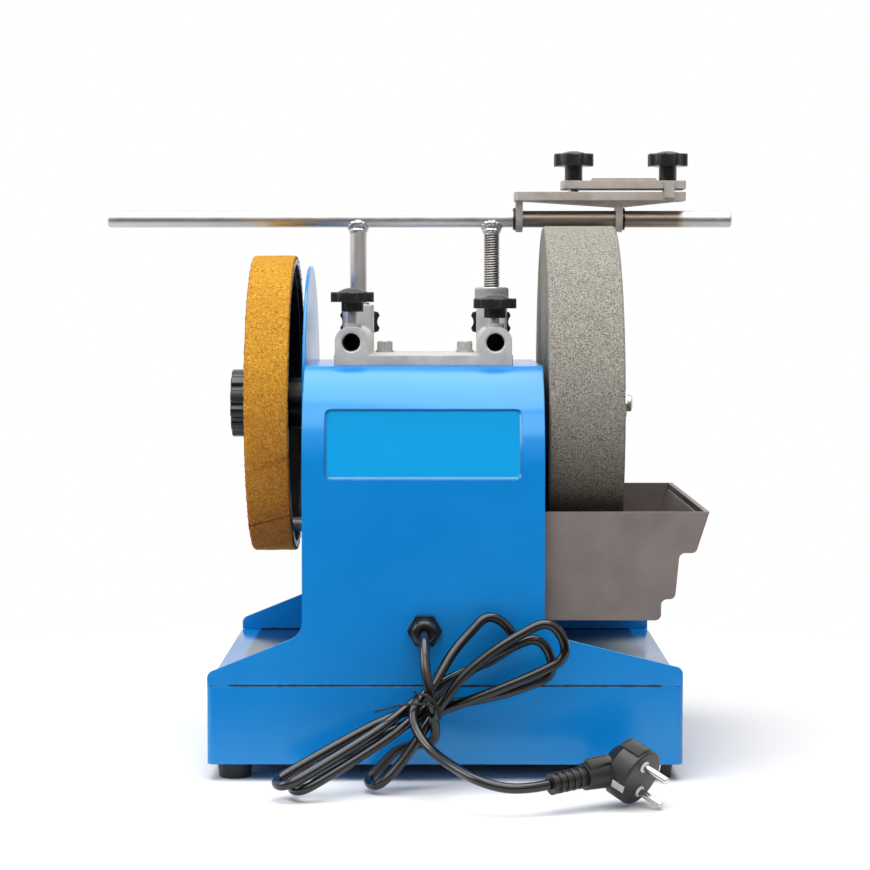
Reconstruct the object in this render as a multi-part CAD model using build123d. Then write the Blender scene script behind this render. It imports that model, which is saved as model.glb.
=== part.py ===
from build123d import *
import math
import os

# Two-wheel wet sharpening machine, in millimetres. +Z is up, X runs along the wheel shaft towards the
# grindstone, -Y is the side with the mains cord. The origin is the middle of the base, on the bench.

# Base pan and feet
foot_height = 11.0
foot_diameter = 24.0
foot_taper = 1.5
foot_inset_x = 17.0
foot_inset_y = 19.0
base_width = 313.0
base_depth = 279.0
base_height = 52.0
base_corner = 5.0
base_edge = 0.9
sheet = 1.5
base_flange = 34.0
cover_sheet = 1.2
cover_gap = 0.5
foot_screw_diameter = 5.0
foot_screw_head = 9.0
foot_screw_head_height = 3.0
foot_screw_sink = 5.0
screw_gap = 0.2

# Housing
tower_width = 159.1
tower_offset = -14.15
tower_top = 271.7
panel_bend_start = 203.0
panel_bend_radius = 78.5
top_bend_radius = 5.0
panel_inset = 0.5
left_shoulder = 8.4
right_shoulder = 11.6
left_flare = 33.6
right_flare = 34.2
shoulder_radius = 5.0
left_flare_radius = 12.5
right_flare_radius = 16.4
recess_width = 129.6
recess_height = 45.5
recess_bottom = 198.5
recess_depth = 1.2
recess_corner = 4.0
panel_gap = 0.3
right_panel_recess = 4.4
shield_radius = 97.0
shield_thickness = 2.3
panel_screw_diameter = 4.0
panel_screw_head = 8.0
panel_screw_head_height = 2.2
panel_screw_length = 8.0
shield_screw_circle = 74.0

# Wheels and their shaft
axis_height = 243.0
shaft_diameter = 12.0
shaft_left_stub = 9.5
shaft_right_stub = 4.2
running_gap = 0.05
stone_diameter = 250.0
stone_width = 50.0
stone_gap = 3.6
stone_edge = 1.2
flange_diameter = 50.0
inner_flange_thickness = 4.4
outer_flange_thickness = 3.0
stone_nut_flats = 19.0
stone_nut_height = 6.4
bearing_diameter = 24.0
bearing_flange_diameter = 40.0
bearing_flange_thickness = 3.0
bearing_length = 16.0
bearing_nose_left = 5.3
bearing_nose_right = 3.2
bearing_hole_gap = 0.2
leather_diameter = 210.0
leather_thickness = 3.0
leather_edge = 0.8
drum_gap = 11.0
drum_width = 29.8
drum_rim = 4.0
drum_web = 5.0
drum_web_setback = 4.0
drum_hub_diameter = 36.0
drum_ribs = 8
drum_rib_width = 4.0
drum_rib_height = 3.0
drum_hub_gap = 0.5
drive_ring_thickness = 4.0
drive_ring_width = 15.0
drive_ring_setback = 3.0
honing_knob_diameter = 48.0
honing_knob_height = 14.3
honing_knob_lobes = 12
honing_knob_neck = 30.0

# Motor and friction drive
roller_radius = 7.5
roller_length = 13.0
roller_gap = 0.15
motor_shaft_diameter = 10.0
motor_diameter = 116.0
motor_length = 100.0
motor_left = -80.0
motor_wall = 3.0
motor_end_wall = 5.0
rotor_diameter = 60.0
core_length = 50.0
air_gap = 0.5
stator_gap = 0.2
motor_bearing_diameter = 22.0
motor_bearing_width = 7.0
motor_boss_wall = 4.0
motor_hole_gap = 3.0
cradle_thickness = 5.0
cradle_foot_thickness = 4.0
cradle_width = 96.0
cradle_wrap = 30.0
cradle_gap = 0.1
cradle_spread = 70.0
cradle_foot_reach = 14.0
motor_bolt_diameter = 6.0
motor_bolt_head = 10.0
motor_bolt_head_height = 4.0
capacitor_diameter = 35.0
capacitor_length = 72.0
capacitor_place_y = 92.0

# Support casting on the housing top
casting_width = 120.2
casting_rear = -97.0
casting_front = 55.0
casting_plate = 7.0
casting_corner = 6.0
sleeve_spacing = 96.6
sleeve_offset = -14.5
sleeve_bore_height = 15.7
sleeve_bore_diameter = 12.2
sleeve_bore_depth = 117.0
sleeve_bore_chamfer = 1.0
ridge_width = 22.0
ridge_top = 25.7
ridge_round = 9.0
leg_place_y = 42.0
leg_tower_height = 41.1
leg_tower_round = 3.0
leg_bore_gap = 0.1
boss_diameter = 12.5
boss_height = 2.5
sleeve_screw_setback = 25.0
leg_screw_height = 28.3
casting_bolt_spacing = 57.2
casting_bolt_y = 18.0
casting_bolt_diameter = 6.0
casting_bolt_head = 10.0
casting_bolt_head_height = 6.5
casting_bolt_socket = 5.0
casting_bolt_length = 18.0
washer_diameter = 13.0
washer_thickness = 1.6
leg_pass_gap = 2.0

# Universal support
bar_diameter = 12.0
bar_left = -243.8
bar_right = 206.9
bar_height = 374.5
bar_chamfer = 1.0
leg_length = 128.0
thread_pitch = 1.75
thread_depth = 0.9
thread_runout = 1.0
weld_gap = 0.02
weld_diameter = 14.6
weld_drop = 9.5
weld_rise = 3.0
height_nut_diameter = 24.0
height_nut_height = 12.5
height_nut_chamfer = 0.8

# Clamp knobs of the casting
knob_diameter = 30.5
knob_lobes = 8
knob_bite_radius = 6.0
knob_bite_depth = 2.4
knob_head_height = 6.8
knob_dome = 3.0
knob_dome_diameter = 20.0
knob_neck_diameter = 15.0
knob_neck_height = 6.5
knob_edge = 0.8
clamp_screw_diameter = 6.0
clamp_screw_in_knob = 5.0
clamp_tip_gap = 0.3
left_sleeve_stand = 8.0
right_sleeve_stand = 3.7
leg_knob_stand = 4.0

# Square-edge jig on the support bar, heights from the bar's centre
jig_left = 50.0
jig_right = 173.0
jig_depth = 32.0
jig_plate_bottom = 12.9
jig_plate_top = 19.0
jig_lug_left = 51.0
jig_lug_right = 123.0
jig_lug_thickness = 5.0
jig_lug_radius = 9.5
jig_web_thickness = 6.0
jig_web_drop = 4.4
jig_corner = 3.0
jig_tab_left = 157.0
jig_tab_width = 7.3
jig_tab_thickness = 3.0
jig_tab_gap = 0.3
jig_tab_inset = 1.6
bush_diameter = 14.0
bush_flange_diameter = 16.0
bush_flange_thickness = 1.8
jaw_left = 84.0
jaw_gap = 2.3
jaw_thickness = 5.7
jaw_rise = 2.0
jaw_rise_left = 106.0
jaw_rise_right = 151.0
jig_stud_left = 93.0
jig_stud_right = 161.0
jig_stud_diameter = 8.0
jig_stud_reach = 44.0
jig_stud_gap = 0.2
jig_knob_diameter = 29.7
jig_knob_neck_diameter = 12.8
jig_knob_neck_height = 11.0
jig_knob_head_height = 9.0
jig_knob_dome = 2.0
jig_knob_dome_diameter = 19.0

# Water trough
trough_depth = 260.0
trough_wall = 2.3
trough_rim = 176.7
trough_bottom = 105.0
trough_gap = 0.5
trough_rim_flare = 8.8
trough_ledge_width = 10.7
trough_ledge_height = 149.5
trough_middle_reach = 154.3
trough_middle_taper = 2.9
trough_step_height = 119.0
trough_step_width = 9.1
trough_round = 4.0
hanger_spread = 224.0
hanger_drop = 9.0
hanger_diameter = 5.0
hanger_head = 10.0
hanger_head_thickness = 2.4
hanger_lift = 6.5
hanger_gap = 0.3

# Switch on the front panel
switch_height = 150.0
switch_width = 22.0
switch_tall = 30.0
switch_bezel_thickness = 2.5
switch_wall = 2.0
switch_depth = 18.0
rocker_gap = 0.4
rocker_stand = 1.5
rocker_rise = 3.0
rocker_thickness = 6.0
rocker_tilt = 10.0
rocker_pin_radius = 1.5

# Mains cord, gland and plug
cord_diameter = 6.5
gland_x = -13.3
gland_height = 99.5
gland_flats = 20.0
gland_nut_thickness = 5.0
gland_dome_diameter = 17.5
gland_dome_length = 12.0
gland_body_diameter = 15.0
gland_gap = 0.15
cord_start_depth = 8.0
hank_loops = 3
hank_gap = 1.7
hank_waist = Vector(-12.0, -160.0, 54.0)
hank_lower_end = Vector(-105.0, -205.0, 6.0)
hank_lower_reach = [58.0, 104.0, 112.0]
hank_lower_droop = [0.35, 0.0, 0.0]
hank_lower_half_width = 10.0
hank_upper_reach = [98.0, 86.0, 72.0]
hank_upper_angle = [27.0, 22.0, 44.0]
hank_upper_half_width = 14.0
hank_upper_lean = 0.1
tie_wire = 1.8
tie_width = 19.5
tie_depth = 26.7
tie_aside = 0.8
tie_forward = 4.9
plug_face = Vector(122.4, -222.0, 18.0)
plug_pin_direction = Vector(0.716, -0.58, -0.39)
plug_cord_direction = Vector(0.87, 0.46, 0.10)
plug_radius = 18.5
plug_length = 14.0
plug_back = 9.0
plug_arm_length = 30.0
plug_arm_radius = 8.5
plug_relief_length = 24.0
plug_relief_radius = 6.8
plug_relief_ribs = 5
plug_rib_depth = 1.2
pin_diameter = 4.8
pin_length = 19.0
pin_spacing = 19.0
pin_sink = 4.0
earth_clip_width = 5.0
earth_clip_thickness = 1.2
earth_clip_length = 9.0

MIN_Z = (Align.CENTER, Align.CENTER, Align.MIN)

base_top = foot_height + base_height
tower_left = tower_offset - tower_width / 2
tower_right = tower_offset + tower_width / 2
right_panel_x = tower_right - right_panel_recess
rear = -base_depth / 2
front = base_depth / 2
stone_left = tower_right + stone_gap
stone_right = stone_left + stone_width
drum_right = tower_left - drum_gap
drum_left = drum_right - drum_width
shaft_left_end = drum_left - shaft_left_stub
shaft_right_end = stone_right + outer_flange_thickness + stone_nut_height + shaft_right_stub
drum_radius = leather_diameter / 2 - leather_thickness
drive_ring_radius = drum_radius - drum_rim - drive_ring_thickness
motor_height = axis_height - (drive_ring_radius - roller_radius - roller_gap)
sleeve_left = sleeve_offset - sleeve_spacing / 2
sleeve_right = sleeve_offset + sleeve_spacing / 2
sleeve_axis_height = tower_top + sleeve_bore_height
leg_tower_top = tower_top + leg_tower_height
leg_screw_z = tower_top + leg_screw_height


def block(x0, x1, y0, y1, z0, z1):
    """A box between two corners."""
    return Pos((x0 + x1) / 2, (y0 + y1) / 2, (z0 + z1) / 2) * Box(x1 - x0, y1 - y0, z1 - z0)


def rod_x(radius, x0, x1, y, z):
    return Pos(x0, y, z) * Rot(0, 90, 0) * Cylinder(radius, x1 - x0, align=MIN_Z)


def rod_y(radius, y0, y1, x, z):
    return Pos(x, y0, z) * Rot(-90, 0, 0) * Cylinder(radius, y1 - y0, align=MIN_Z)


def rod_z(radius, z0, z1, x, y):
    return Pos(x, y, z0) * Cylinder(radius, z1 - z0, align=MIN_Z)


def turned_x(points, z):
    """A solid of revolution about the X direction, from (x, radius) points."""
    return Pos(0, 0, z) * revolve(make_face(Polyline(*points, close=True)), Axis.X)


def turned_z(points):
    """A solid of revolution about Z, from (radius, z) points."""
    face = make_face(Polyline(*[(r, 0, z) for r, z in points], close=True))
    return revolve(face, Axis.Z)


def corner(face, x, y):
    return face.vertices().sort_by_distance((x, y, 0))[0]


def joined(solids):
    return Compound(children=list(solids))


def foot_places():
    x = base_width / 2 - foot_inset_x
    y = base_depth / 2 - foot_inset_y
    return [(-x, -y), (x, -y), (-x, y), (x, y)]


def make_base_pan():
    """A folded steel tray, open below apart from an inward flange that carries the feet."""
    pan = block(-base_width / 2, base_width / 2, rear, front, foot_height, base_top)
    pan = fillet(pan.edges().filter_by(Axis.Z), base_corner)
    pan = fillet(pan.edges().group_by(Axis.Z)[-1], base_edge)
    inside = block(
        -base_width / 2 + sheet, base_width / 2 - sheet, rear + sheet, front - sheet,
        foot_height + sheet, base_top - sheet,
    )
    mouth = block(
        -base_width / 2 + base_flange, base_width / 2 - base_flange,
        rear + base_flange, front - base_flange, foot_height - 1, foot_height + sheet + 1,
    )
    pan = pan - inside - mouth
    for x, y in foot_places():
        pan -= rod_z(foot_screw_diameter / 2 + screw_gap, foot_height - 1, foot_height + sheet + 1, x, y)
    for x, y in motor_bolt_places():
        pan -= rod_z(motor_bolt_diameter / 2 + screw_gap, base_top - sheet - 1, base_top + 1, x, y)
    return pan


def make_bottom_cover():
    x = base_width / 2 - sheet - cover_gap
    y = base_depth / 2 - sheet - cover_gap
    low = foot_height + sheet
    cover = block(-x, x, -y, y, low, low + cover_sheet)
    for fx, fy in foot_places():
        cover -= rod_z(foot_screw_diameter / 2 + screw_gap, low - 1, low + cover_sheet + 1, fx, fy)
    return cover


def make_rubber_feet():
    top = foot_diameter / 2
    hole = foot_screw_diameter / 2 + screw_gap
    sink = foot_screw_head / 2 + 2 * screw_gap
    profile = [
        (sink, 0), (top - foot_taper, 0), (top, foot_height), (hole, foot_height),
        (hole, foot_screw_sink), (sink, foot_screw_sink),
    ]
    foot = turned_z(profile)
    return joined(Pos(x, y, 0) * foot for x, y in foot_places())


def make_foot_screws():
    top = foot_height + sheet + cover_sheet + foot_screw_diameter
    head_low = foot_screw_sink - foot_screw_head_height
    profile = [
        (0, head_low), (foot_screw_head / 2, head_low), (foot_screw_head / 2, foot_screw_sink),
        (foot_screw_diameter / 2, foot_screw_sink), (foot_screw_diameter / 2, top), (0, top),
    ]
    screw = turned_z(profile)
    return joined(Pos(x, y, 0) * screw for x, y in foot_places())


def tower_profile(inset):
    """The tower's outline seen along the shaft, moved inwards by inset; flat in the (Y, Z) plane."""
    half = base_depth / 2 - inset
    top = tower_top - inset
    radius = panel_bend_radius - inset
    centre = base_depth / 2 - panel_bend_radius
    end_angle = math.asin((top - panel_bend_start) / radius)
    end_y = centre + radius * math.cos(end_angle)
    middle_y = centre + radius * math.cos(end_angle / 2)
    middle_z = panel_bend_start + radius * math.sin(end_angle / 2)
    outline = [
        Line((-half, base_top), (-half, panel_bend_start)),
        ThreePointArc((-half, panel_bend_start), (-middle_y, middle_z), (-end_y, top)),
        Line((-end_y, top), (end_y, top)),
        ThreePointArc((end_y, top), (middle_y, middle_z), (half, panel_bend_start)),
        Line((half, panel_bend_start), (half, base_top)),
        Line((half, base_top), (-half, base_top)),
    ]
    face = make_face(outline)
    bends = [corner(face, -end_y, top), corner(face, end_y, top)]
    return fillet(bends, top_bend_radius - min(inset, sheet + recess_depth))


def along_x(face, x0, x1):
    plane = Plane(origin=(x0, 0, 0), x_dir=(0, 1, 0), z_dir=(1, 0, 0))
    return extrude(plane * face, x1 - x0)


def along_y(face, y0, y1):
    plane = Plane(origin=(0, y1, 0), x_dir=(1, 0, 0), z_dir=(0, -1, 0))
    return extrude(plane * face, y1 - y0)


def panel_outline():
    """The lower part of the rear and front panels, with a flare on each side, in the (X, Z) plane."""
    half = base_width / 2 - panel_inset
    points = [
        (-half, base_top), (half, base_top), (half, base_top + right_shoulder),
        (tower_right, base_top + right_flare), (tower_right, panel_bend_start),
        (tower_left, panel_bend_start), (tower_left, base_top + left_flare),
        (-half, base_top + left_shoulder),
    ]
    face = make_face(Polyline(*points, close=True))
    face = fillet(corner(face, half, base_top + right_shoulder), shoulder_radius)
    face = fillet(corner(face, -half, base_top + left_shoulder), shoulder_radius)
    face = fillet(corner(face, tower_right, base_top + right_flare), right_flare_radius)
    return fillet(corner(face, tower_left, base_top + left_flare), left_flare_radius)


def recess_face(grow):
    width = recess_width + 2 * grow
    height = recess_height + 2 * grow
    place = Pos(tower_offset, recess_bottom + recess_height / 2)
    return place * RectangleRounded(width, height, recess_corner + grow)


def make_housing_shell():
    """One sheet from the rear panel over the top to the front panel, with a pressed rectangle behind."""
    shell = along_x(tower_profile(0) - tower_profile(sheet), tower_left, tower_right)
    shell += along_y(panel_outline(), rear, rear + sheet)
    shell += along_y(panel_outline(), front - sheet, front)
    deeper = tower_profile(recess_depth) - tower_profile(recess_depth + sheet)
    deeper = along_x(deeper, tower_left, tower_right)
    press_front = rear + panel_bend_radius / 2
    shell -= along_y(recess_face(0), rear - 1, press_front)
    shell += deeper & along_y(recess_face(sheet), rear - 1, press_front)
    low = tower_top - sheet - 1
    for x in (sleeve_left, sleeve_right):
        shell -= rod_z(bar_diameter / 2 + leg_pass_gap, low, tower_top + 1, x, leg_place_y)
    for x in casting_bolt_places():
        shell -= rod_z(casting_bolt_diameter / 2 + screw_gap, low, tower_top + 1, x, casting_bolt_y)
    shell -= rod_y(gland_body_diameter / 2 + screw_gap, rear - 1, rear + sheet + 1, gland_x, gland_height)
    body_w = switch_width / 2 - switch_wall + screw_gap
    body_h = switch_tall / 2 - switch_wall + screw_gap
    return shell - block(
        tower_offset - body_w, tower_offset + body_w, front - sheet - 1, front + 1,
        switch_height - body_h, switch_height + body_h,
    )


def shield_screw_places():
    """Places of the shield's screws, as (y, z)."""
    angles = [40, 140, 215, 325]
    return [
        (
            shield_screw_circle * math.cos(math.radians(a)),
            axis_height + shield_screw_circle * math.sin(math.radians(a)),
        )
        for a in angles
        if axis_height + shield_screw_circle * math.sin(math.radians(a)) < tower_top - panel_screw_head
    ]


def right_screw_places():
    """Places of the right bearing's screws, as (y, z)."""
    reach = (bearing_diameter + bearing_flange_diameter) / 4
    return [(reach, axis_height), (-reach, axis_height), (0, axis_height + reach), (0, axis_height - reach)]


def side_panel(x0):
    panel = along_x(tower_profile(sheet + panel_gap), x0, x0 + sheet)
    return panel - rod_x(bearing_diameter / 2 + bearing_hole_gap, x0 - 1, x0 + sheet + 1, 0, axis_height)


def make_left_side_panel():
    panel = side_panel(tower_left)
    motor_hole = motor_shaft_diameter / 2 + motor_hole_gap
    panel -= rod_x(motor_hole, tower_left - 1, tower_left + sheet + 1, 0, motor_height)
    for y, z in shield_screw_places():
        panel -= rod_x(panel_screw_diameter / 2 + screw_gap, tower_left - 1, tower_left + sheet + 1, y, z)
    return panel


def make_right_side_panel():
    x0 = right_panel_x - sheet
    panel = side_panel(x0)
    for y, z in hanger_places():
        panel -= rod_x(hanger_diameter / 2 + screw_gap, x0 - 1, right_panel_x + 1, y, z)
    for y, z in right_screw_places():
        panel -= rod_x(panel_screw_diameter / 2 + screw_gap, x0 - 1, right_panel_x + 1, y, z)
    return panel


def make_wheel_shield():
    """The round plate behind the honing wheel; its top stands above the housing."""
    x0 = tower_left - shield_thickness
    shield = rod_x(shield_radius, x0, tower_left, 0, axis_height)
    shield = fillet(shield.edges(), shield_thickness / 4)
    shield -= rod_x(bearing_diameter / 2 + bearing_hole_gap, x0 - 1, tower_left + 1, 0, axis_height)
    shield -= rod_x(motor_shaft_diameter / 2 + motor_hole_gap, x0 - 1, tower_left + 1, 0, motor_height)
    for y, z in shield_screw_places():
        shield -= rod_x(panel_screw_diameter / 2 + screw_gap, x0 - 1, tower_left + 1, y, z)
    return shield


def make_panel_screws():
    """Screws of the shield, and those that hold the right-hand bearing to its panel."""
    head, shank = panel_screw_head / 2, panel_screw_diameter / 2
    screws = []
    seat = tower_left - shield_thickness
    for y, z in shield_screw_places():
        screws.append(
            rod_x(head, seat - panel_screw_head_height, seat, y, z)
            + rod_x(shank, seat, seat + panel_screw_length, y, z)
        )
    for y, z in right_screw_places():
        screws.append(
            rod_x(head / 2, right_panel_x, right_panel_x + panel_screw_head_height / 2, y, z)
            + rod_x(shank, right_panel_x - panel_screw_length, right_panel_x, y, z)
        )
    return joined(screws)


def casting_bolt_places():
    return [sleeve_offset - casting_bolt_spacing / 2, sleeve_offset + casting_bolt_spacing / 2]


def make_support_casting():
    """The aluminium base of the support: two ridges with level bores and two upright sleeves."""
    low = tower_top
    high = tower_top + casting_plate
    casting = block(
        sleeve_offset - casting_width / 2, sleeve_offset + casting_width / 2,
        casting_rear, casting_front, low, high,
    )
    casting = fillet(casting.edges().filter_by(Axis.Z), casting_corner)
    for x in (sleeve_left, sleeve_right):
        ridge_half = ridge_width / 2
        ridge = block(x - ridge_half, x + ridge_half, casting_rear, casting_front, low, low + ridge_top)
        ridge = fillet(ridge.edges().filter_by(Axis.Y).group_by(Axis.Z)[-1], ridge_round)
        tower = block(
            x - ridge_width / 2, x + ridge_width / 2, 2 * leg_place_y - casting_front, casting_front,
            low, leg_tower_top,
        )
        tower = fillet(tower.edges().filter_by(Axis.Z), leg_tower_round)
        tower = fillet(tower.edges().group_by(Axis.Z)[-1], leg_tower_round / 3)
        casting += ridge
        casting += tower
        screw_y = casting_rear + sleeve_screw_setback
        casting += rod_z(boss_diameter / 2, low + casting_plate, low + ridge_top + boss_height, x, screw_y)
        casting += rod_y(boss_diameter / 2, leg_place_y, casting_front + boss_height, x, leg_screw_z)
    for x in (sleeve_left, sleeve_right):
        screw_y = casting_rear + sleeve_screw_setback
        hole = clamp_screw_diameter / 2 + running_gap
        casting -= rod_y(
            sleeve_bore_diameter / 2, casting_rear, casting_rear + sleeve_bore_depth, x, sleeve_axis_height
        )
        mouth = Pos(x, casting_rear, sleeve_axis_height) * Rot(-90, 0, 0) * Cone(
            sleeve_bore_diameter / 2 + sleeve_bore_chamfer, sleeve_bore_diameter / 2,
            sleeve_bore_chamfer, align=MIN_Z,
        )
        casting -= mouth
        casting -= rod_z(bar_diameter / 2 + leg_bore_gap, low - 1, leg_tower_top + 1, x, leg_place_y)
        casting -= rod_z(hole, sleeve_axis_height, low + ridge_top + boss_height + 1, x, screw_y)
        casting -= rod_y(hole, leg_place_y, casting_front + boss_height + 1, x, leg_screw_z)
    for x in casting_bolt_places():
        casting -= rod_z(casting_bolt_diameter / 2 + screw_gap, low - 1, high + 1, x, casting_bolt_y)
    return casting


def make_casting_bolts():
    """Socket-head screws that hold the casting to the housing top."""
    seat = tower_top + casting_plate + washer_thickness
    bolts = []
    for x in casting_bolt_places():
        head = rod_z(casting_bolt_head / 2, seat, seat + casting_bolt_head_height, x, casting_bolt_y)
        head = fillet(head.edges().group_by(Axis.Z)[-1], casting_bolt_head / 16)
        socket = Pos(x, casting_bolt_y, seat + casting_bolt_head_height / 2) * extrude(
            RegularPolygon(casting_bolt_socket / 2, 6, major_radius=False), casting_bolt_head_height
        )
        shank = rod_z(casting_bolt_diameter / 2, seat - casting_bolt_length, seat, x, casting_bolt_y)
        bolts.append(head + shank - socket)
    return joined(bolts)


def make_casting_washers():
    low = tower_top + casting_plate
    high = low + washer_thickness
    washers = []
    for x in casting_bolt_places():
        ring = rod_z(washer_diameter / 2, low, high, x, casting_bolt_y)
        washers.append(ring - rod_z(casting_bolt_diameter / 2 + screw_gap, low - 1, high + 1, x, casting_bolt_y))
    return joined(washers)


def make_main_shaft():
    shaft = rod_x(shaft_diameter / 2, shaft_left_end, shaft_right_end, 0, axis_height)
    return chamfer(shaft.edges(), shaft_diameter / 12)


def bearing(seat_x, direction, nose):
    """A flanged bush: its flange lies inside a side panel and its nose passes through to the outside."""
    bore = shaft_diameter / 2 + running_gap
    body, flange = bearing_diameter / 2, bearing_flange_diameter / 2
    inner = seat_x - direction * bearing_length
    step = seat_x - direction * bearing_flange_thickness
    tip = seat_x + direction * nose
    points = [
        (inner, bore), (inner, body), (step, body), (step, flange),
        (seat_x, flange), (seat_x, body), (tip, body), (tip, bore),
    ]
    return turned_x(points, axis_height)


def make_shaft_bearings():
    left = bearing(tower_left + sheet, -1, bearing_nose_left)
    right = bearing(right_panel_x - sheet, 1, bearing_nose_right)
    hole = panel_screw_diameter / 2 + screw_gap
    for y, z in right_screw_places():
        right -= rod_x(hole, right_panel_x - bearing_length, right_panel_x, y, z)
    return joined([left, right])


def make_grindstone():
    radius, bore = stone_diameter / 2, shaft_diameter / 2 + running_gap
    points = [
        (stone_left, bore), (stone_left, radius - stone_edge), (stone_left + stone_edge, radius),
        (stone_right - stone_edge, radius), (stone_right, radius - stone_edge), (stone_right, bore),
    ]
    return turned_x(points, axis_height)


def shaft_ring(x0, x1, diameter):
    bore = shaft_diameter / 2 + running_gap
    return turned_x([(x0, bore), (x0, diameter / 2), (x1, diameter / 2), (x1, bore)], axis_height)


def make_stone_flanges():
    inner = shaft_ring(stone_left - inner_flange_thickness, stone_left, flange_diameter)
    outer = shaft_ring(stone_right, stone_right + outer_flange_thickness, flange_diameter)
    return joined([inner, outer])


def make_stone_nut():
    x0 = stone_right + outer_flange_thickness
    plane = Plane(origin=(x0, 0, axis_height), x_dir=(0, 1, 0), z_dir=(1, 0, 0))
    face = RegularPolygon(stone_nut_flats / 2, 6, major_radius=False)
    face -= Circle(shaft_diameter / 2 + running_gap)
    return extrude(plane * face, stone_nut_height)


def make_honing_drum():
    """A moulded drum, open towards the housing, with ribs on its outer face."""
    bore, hub = shaft_diameter / 2 + running_gap, drum_hub_diameter / 2
    rim = drum_radius - drum_rim
    web_left = drum_left + drum_web_setback
    web_right = web_left + drum_web
    hub_right = tower_left - shield_thickness - bearing_nose_left + shield_thickness + sheet - drum_hub_gap
    points = [
        (drum_left, bore), (drum_left, hub), (web_left, hub), (web_left, rim), (drum_left, rim),
        (drum_left, drum_radius), (drum_right, drum_radius), (drum_right, rim), (web_right, rim),
        (web_right, hub), (hub_right, hub), (hub_right, bore),
    ]
    drum = turned_x(points, axis_height)
    rib = block(
        web_left - drum_rib_height, web_left + drum_web / 2, hub - 1, rim + 1,
        -drum_rib_width / 2, drum_rib_width / 2,
    )
    for i in range(drum_ribs):
        drum += Pos(0, 0, axis_height) * Rot(360 * i / drum_ribs, 0, 0) * rib
    return drum


def make_honing_leather():
    outer = leather_diameter / 2
    points = [
        (drum_left, drum_radius), (drum_left, outer - leather_edge), (drum_left + leather_edge, outer),
        (drum_right - leather_edge, outer), (drum_right, outer - leather_edge), (drum_right, drum_radius),
    ]
    return turned_x(points, axis_height)


def make_drive_ring():
    outer = drum_radius - drum_rim
    x1 = drum_right - drive_ring_setback
    x0 = x1 - drive_ring_width
    points = [(x0, drive_ring_radius), (x0, outer), (x1, outer), (x1, drive_ring_radius)]
    return turned_x(points, axis_height)


def lobed_face(radius, lobes, bite_radius, bite_depth):
    """A round face with evenly spaced scallops, as on a hand knob."""
    face = Circle(radius)
    reach = radius + bite_radius - bite_depth
    for i in range(lobes):
        face -= Rot(0, 0, 360 * i / lobes) * Pos(reach, 0) * Circle(bite_radius)
    return fillet(face.vertices(), bite_depth / 2)


def make_honing_knob():
    head = extrude(
        lobed_face(
            honing_knob_diameter / 2, honing_knob_lobes, honing_knob_diameter / 12, honing_knob_diameter / 24
        ),
        honing_knob_height,
    )
    head = fillet(head.edges().group_by(Axis.Z)[-1], honing_knob_diameter / 40)
    neck_length = honing_knob_height / 8
    neck = Pos(0, 0, -neck_length) * Cylinder(honing_knob_neck / 2, neck_length, align=MIN_Z)
    depth = drum_left - shaft_left_end
    hole = Cylinder(shaft_diameter / 2 + running_gap, depth + 1 + neck_length / 2, align=MIN_Z)
    hole = Pos(0, 0, -neck_length - 1) * hole
    knob = head + neck - hole
    return Pos(drum_left - neck_length, 0, axis_height) * Rot(0, -90, 0) * knob


def motor_shell_half(x_end, x_middle):
    """Half of the motor case: a cup with a bearing seat in its end wall."""
    side = 1 if x_middle > x_end else -1
    outer, inner = motor_diameter / 2, motor_diameter / 2 - motor_wall
    seat = motor_bearing_diameter / 2 + running_gap
    boss = seat + motor_boss_wall
    hole = motor_shaft_diameter / 2 + 1
    wall = x_end + side * motor_end_wall
    boss_end = wall + side * motor_bearing_width
    points = [
        (x_end, hole), (x_end, outer), (x_middle, outer), (x_middle, inner), (wall, inner),
        (wall, boss), (boss_end, boss), (boss_end, seat), (wall, seat), (wall, hole),
    ]
    return turned_x(points, motor_height)


motor_right = motor_left + motor_length
motor_middle = motor_left + motor_length / 2


def make_motor_case():
    return joined([motor_shell_half(motor_left, motor_middle), motor_shell_half(motor_right, motor_middle)])


def make_motor_bearings():
    bore = motor_shaft_diameter / 2 + running_gap
    rings = []
    for x_end, side in ((motor_left, 1), (motor_right, -1)):
        x0 = x_end + side * motor_end_wall
        x1 = x0 + side * motor_bearing_width
        outer = motor_bearing_diameter / 2
        rings.append(turned_x([(x0, bore), (x0, outer), (x1, outer), (x1, bore)], motor_height))
    return joined(rings)


def core_ring(inner, outer):
    x0, x1 = motor_middle - core_length / 2, motor_middle + core_length / 2
    return turned_x([(x0, inner), (x0, outer), (x1, outer), (x1, inner)], motor_height)


def make_motor_stator():
    return core_ring(rotor_diameter / 2 + air_gap, motor_diameter / 2 - motor_wall - stator_gap)


def make_motor_rotor():
    return core_ring(motor_shaft_diameter / 2 + running_gap, rotor_diameter / 2)


roller_right = drum_right - drive_ring_setback - (drive_ring_width - roller_length) / 2
roller_left = roller_right - roller_length


def make_motor_shaft():
    end = motor_right - motor_end_wall / 2
    return rod_x(motor_shaft_diameter / 2, roller_left, end, 0, motor_height)


def make_friction_roller():
    bore = motor_shaft_diameter / 2 + running_gap
    points = [
        (roller_left, bore), (roller_left, roller_radius), (roller_right, roller_radius), (roller_right, bore),
    ]
    return turned_x(points, motor_height)


def cradle_places():
    return [motor_middle - cradle_spread / 2, motor_middle + cradle_spread / 2]


def motor_bolt_places():
    y = cradle_width / 2 - motor_bolt_head
    outwards = cradle_thickness / 2 + cradle_foot_reach / 2
    left, right = cradle_places()
    return [(left - outwards, -y), (left - outwards, y), (right + outwards, -y), (right + outwards, y)]


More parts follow.
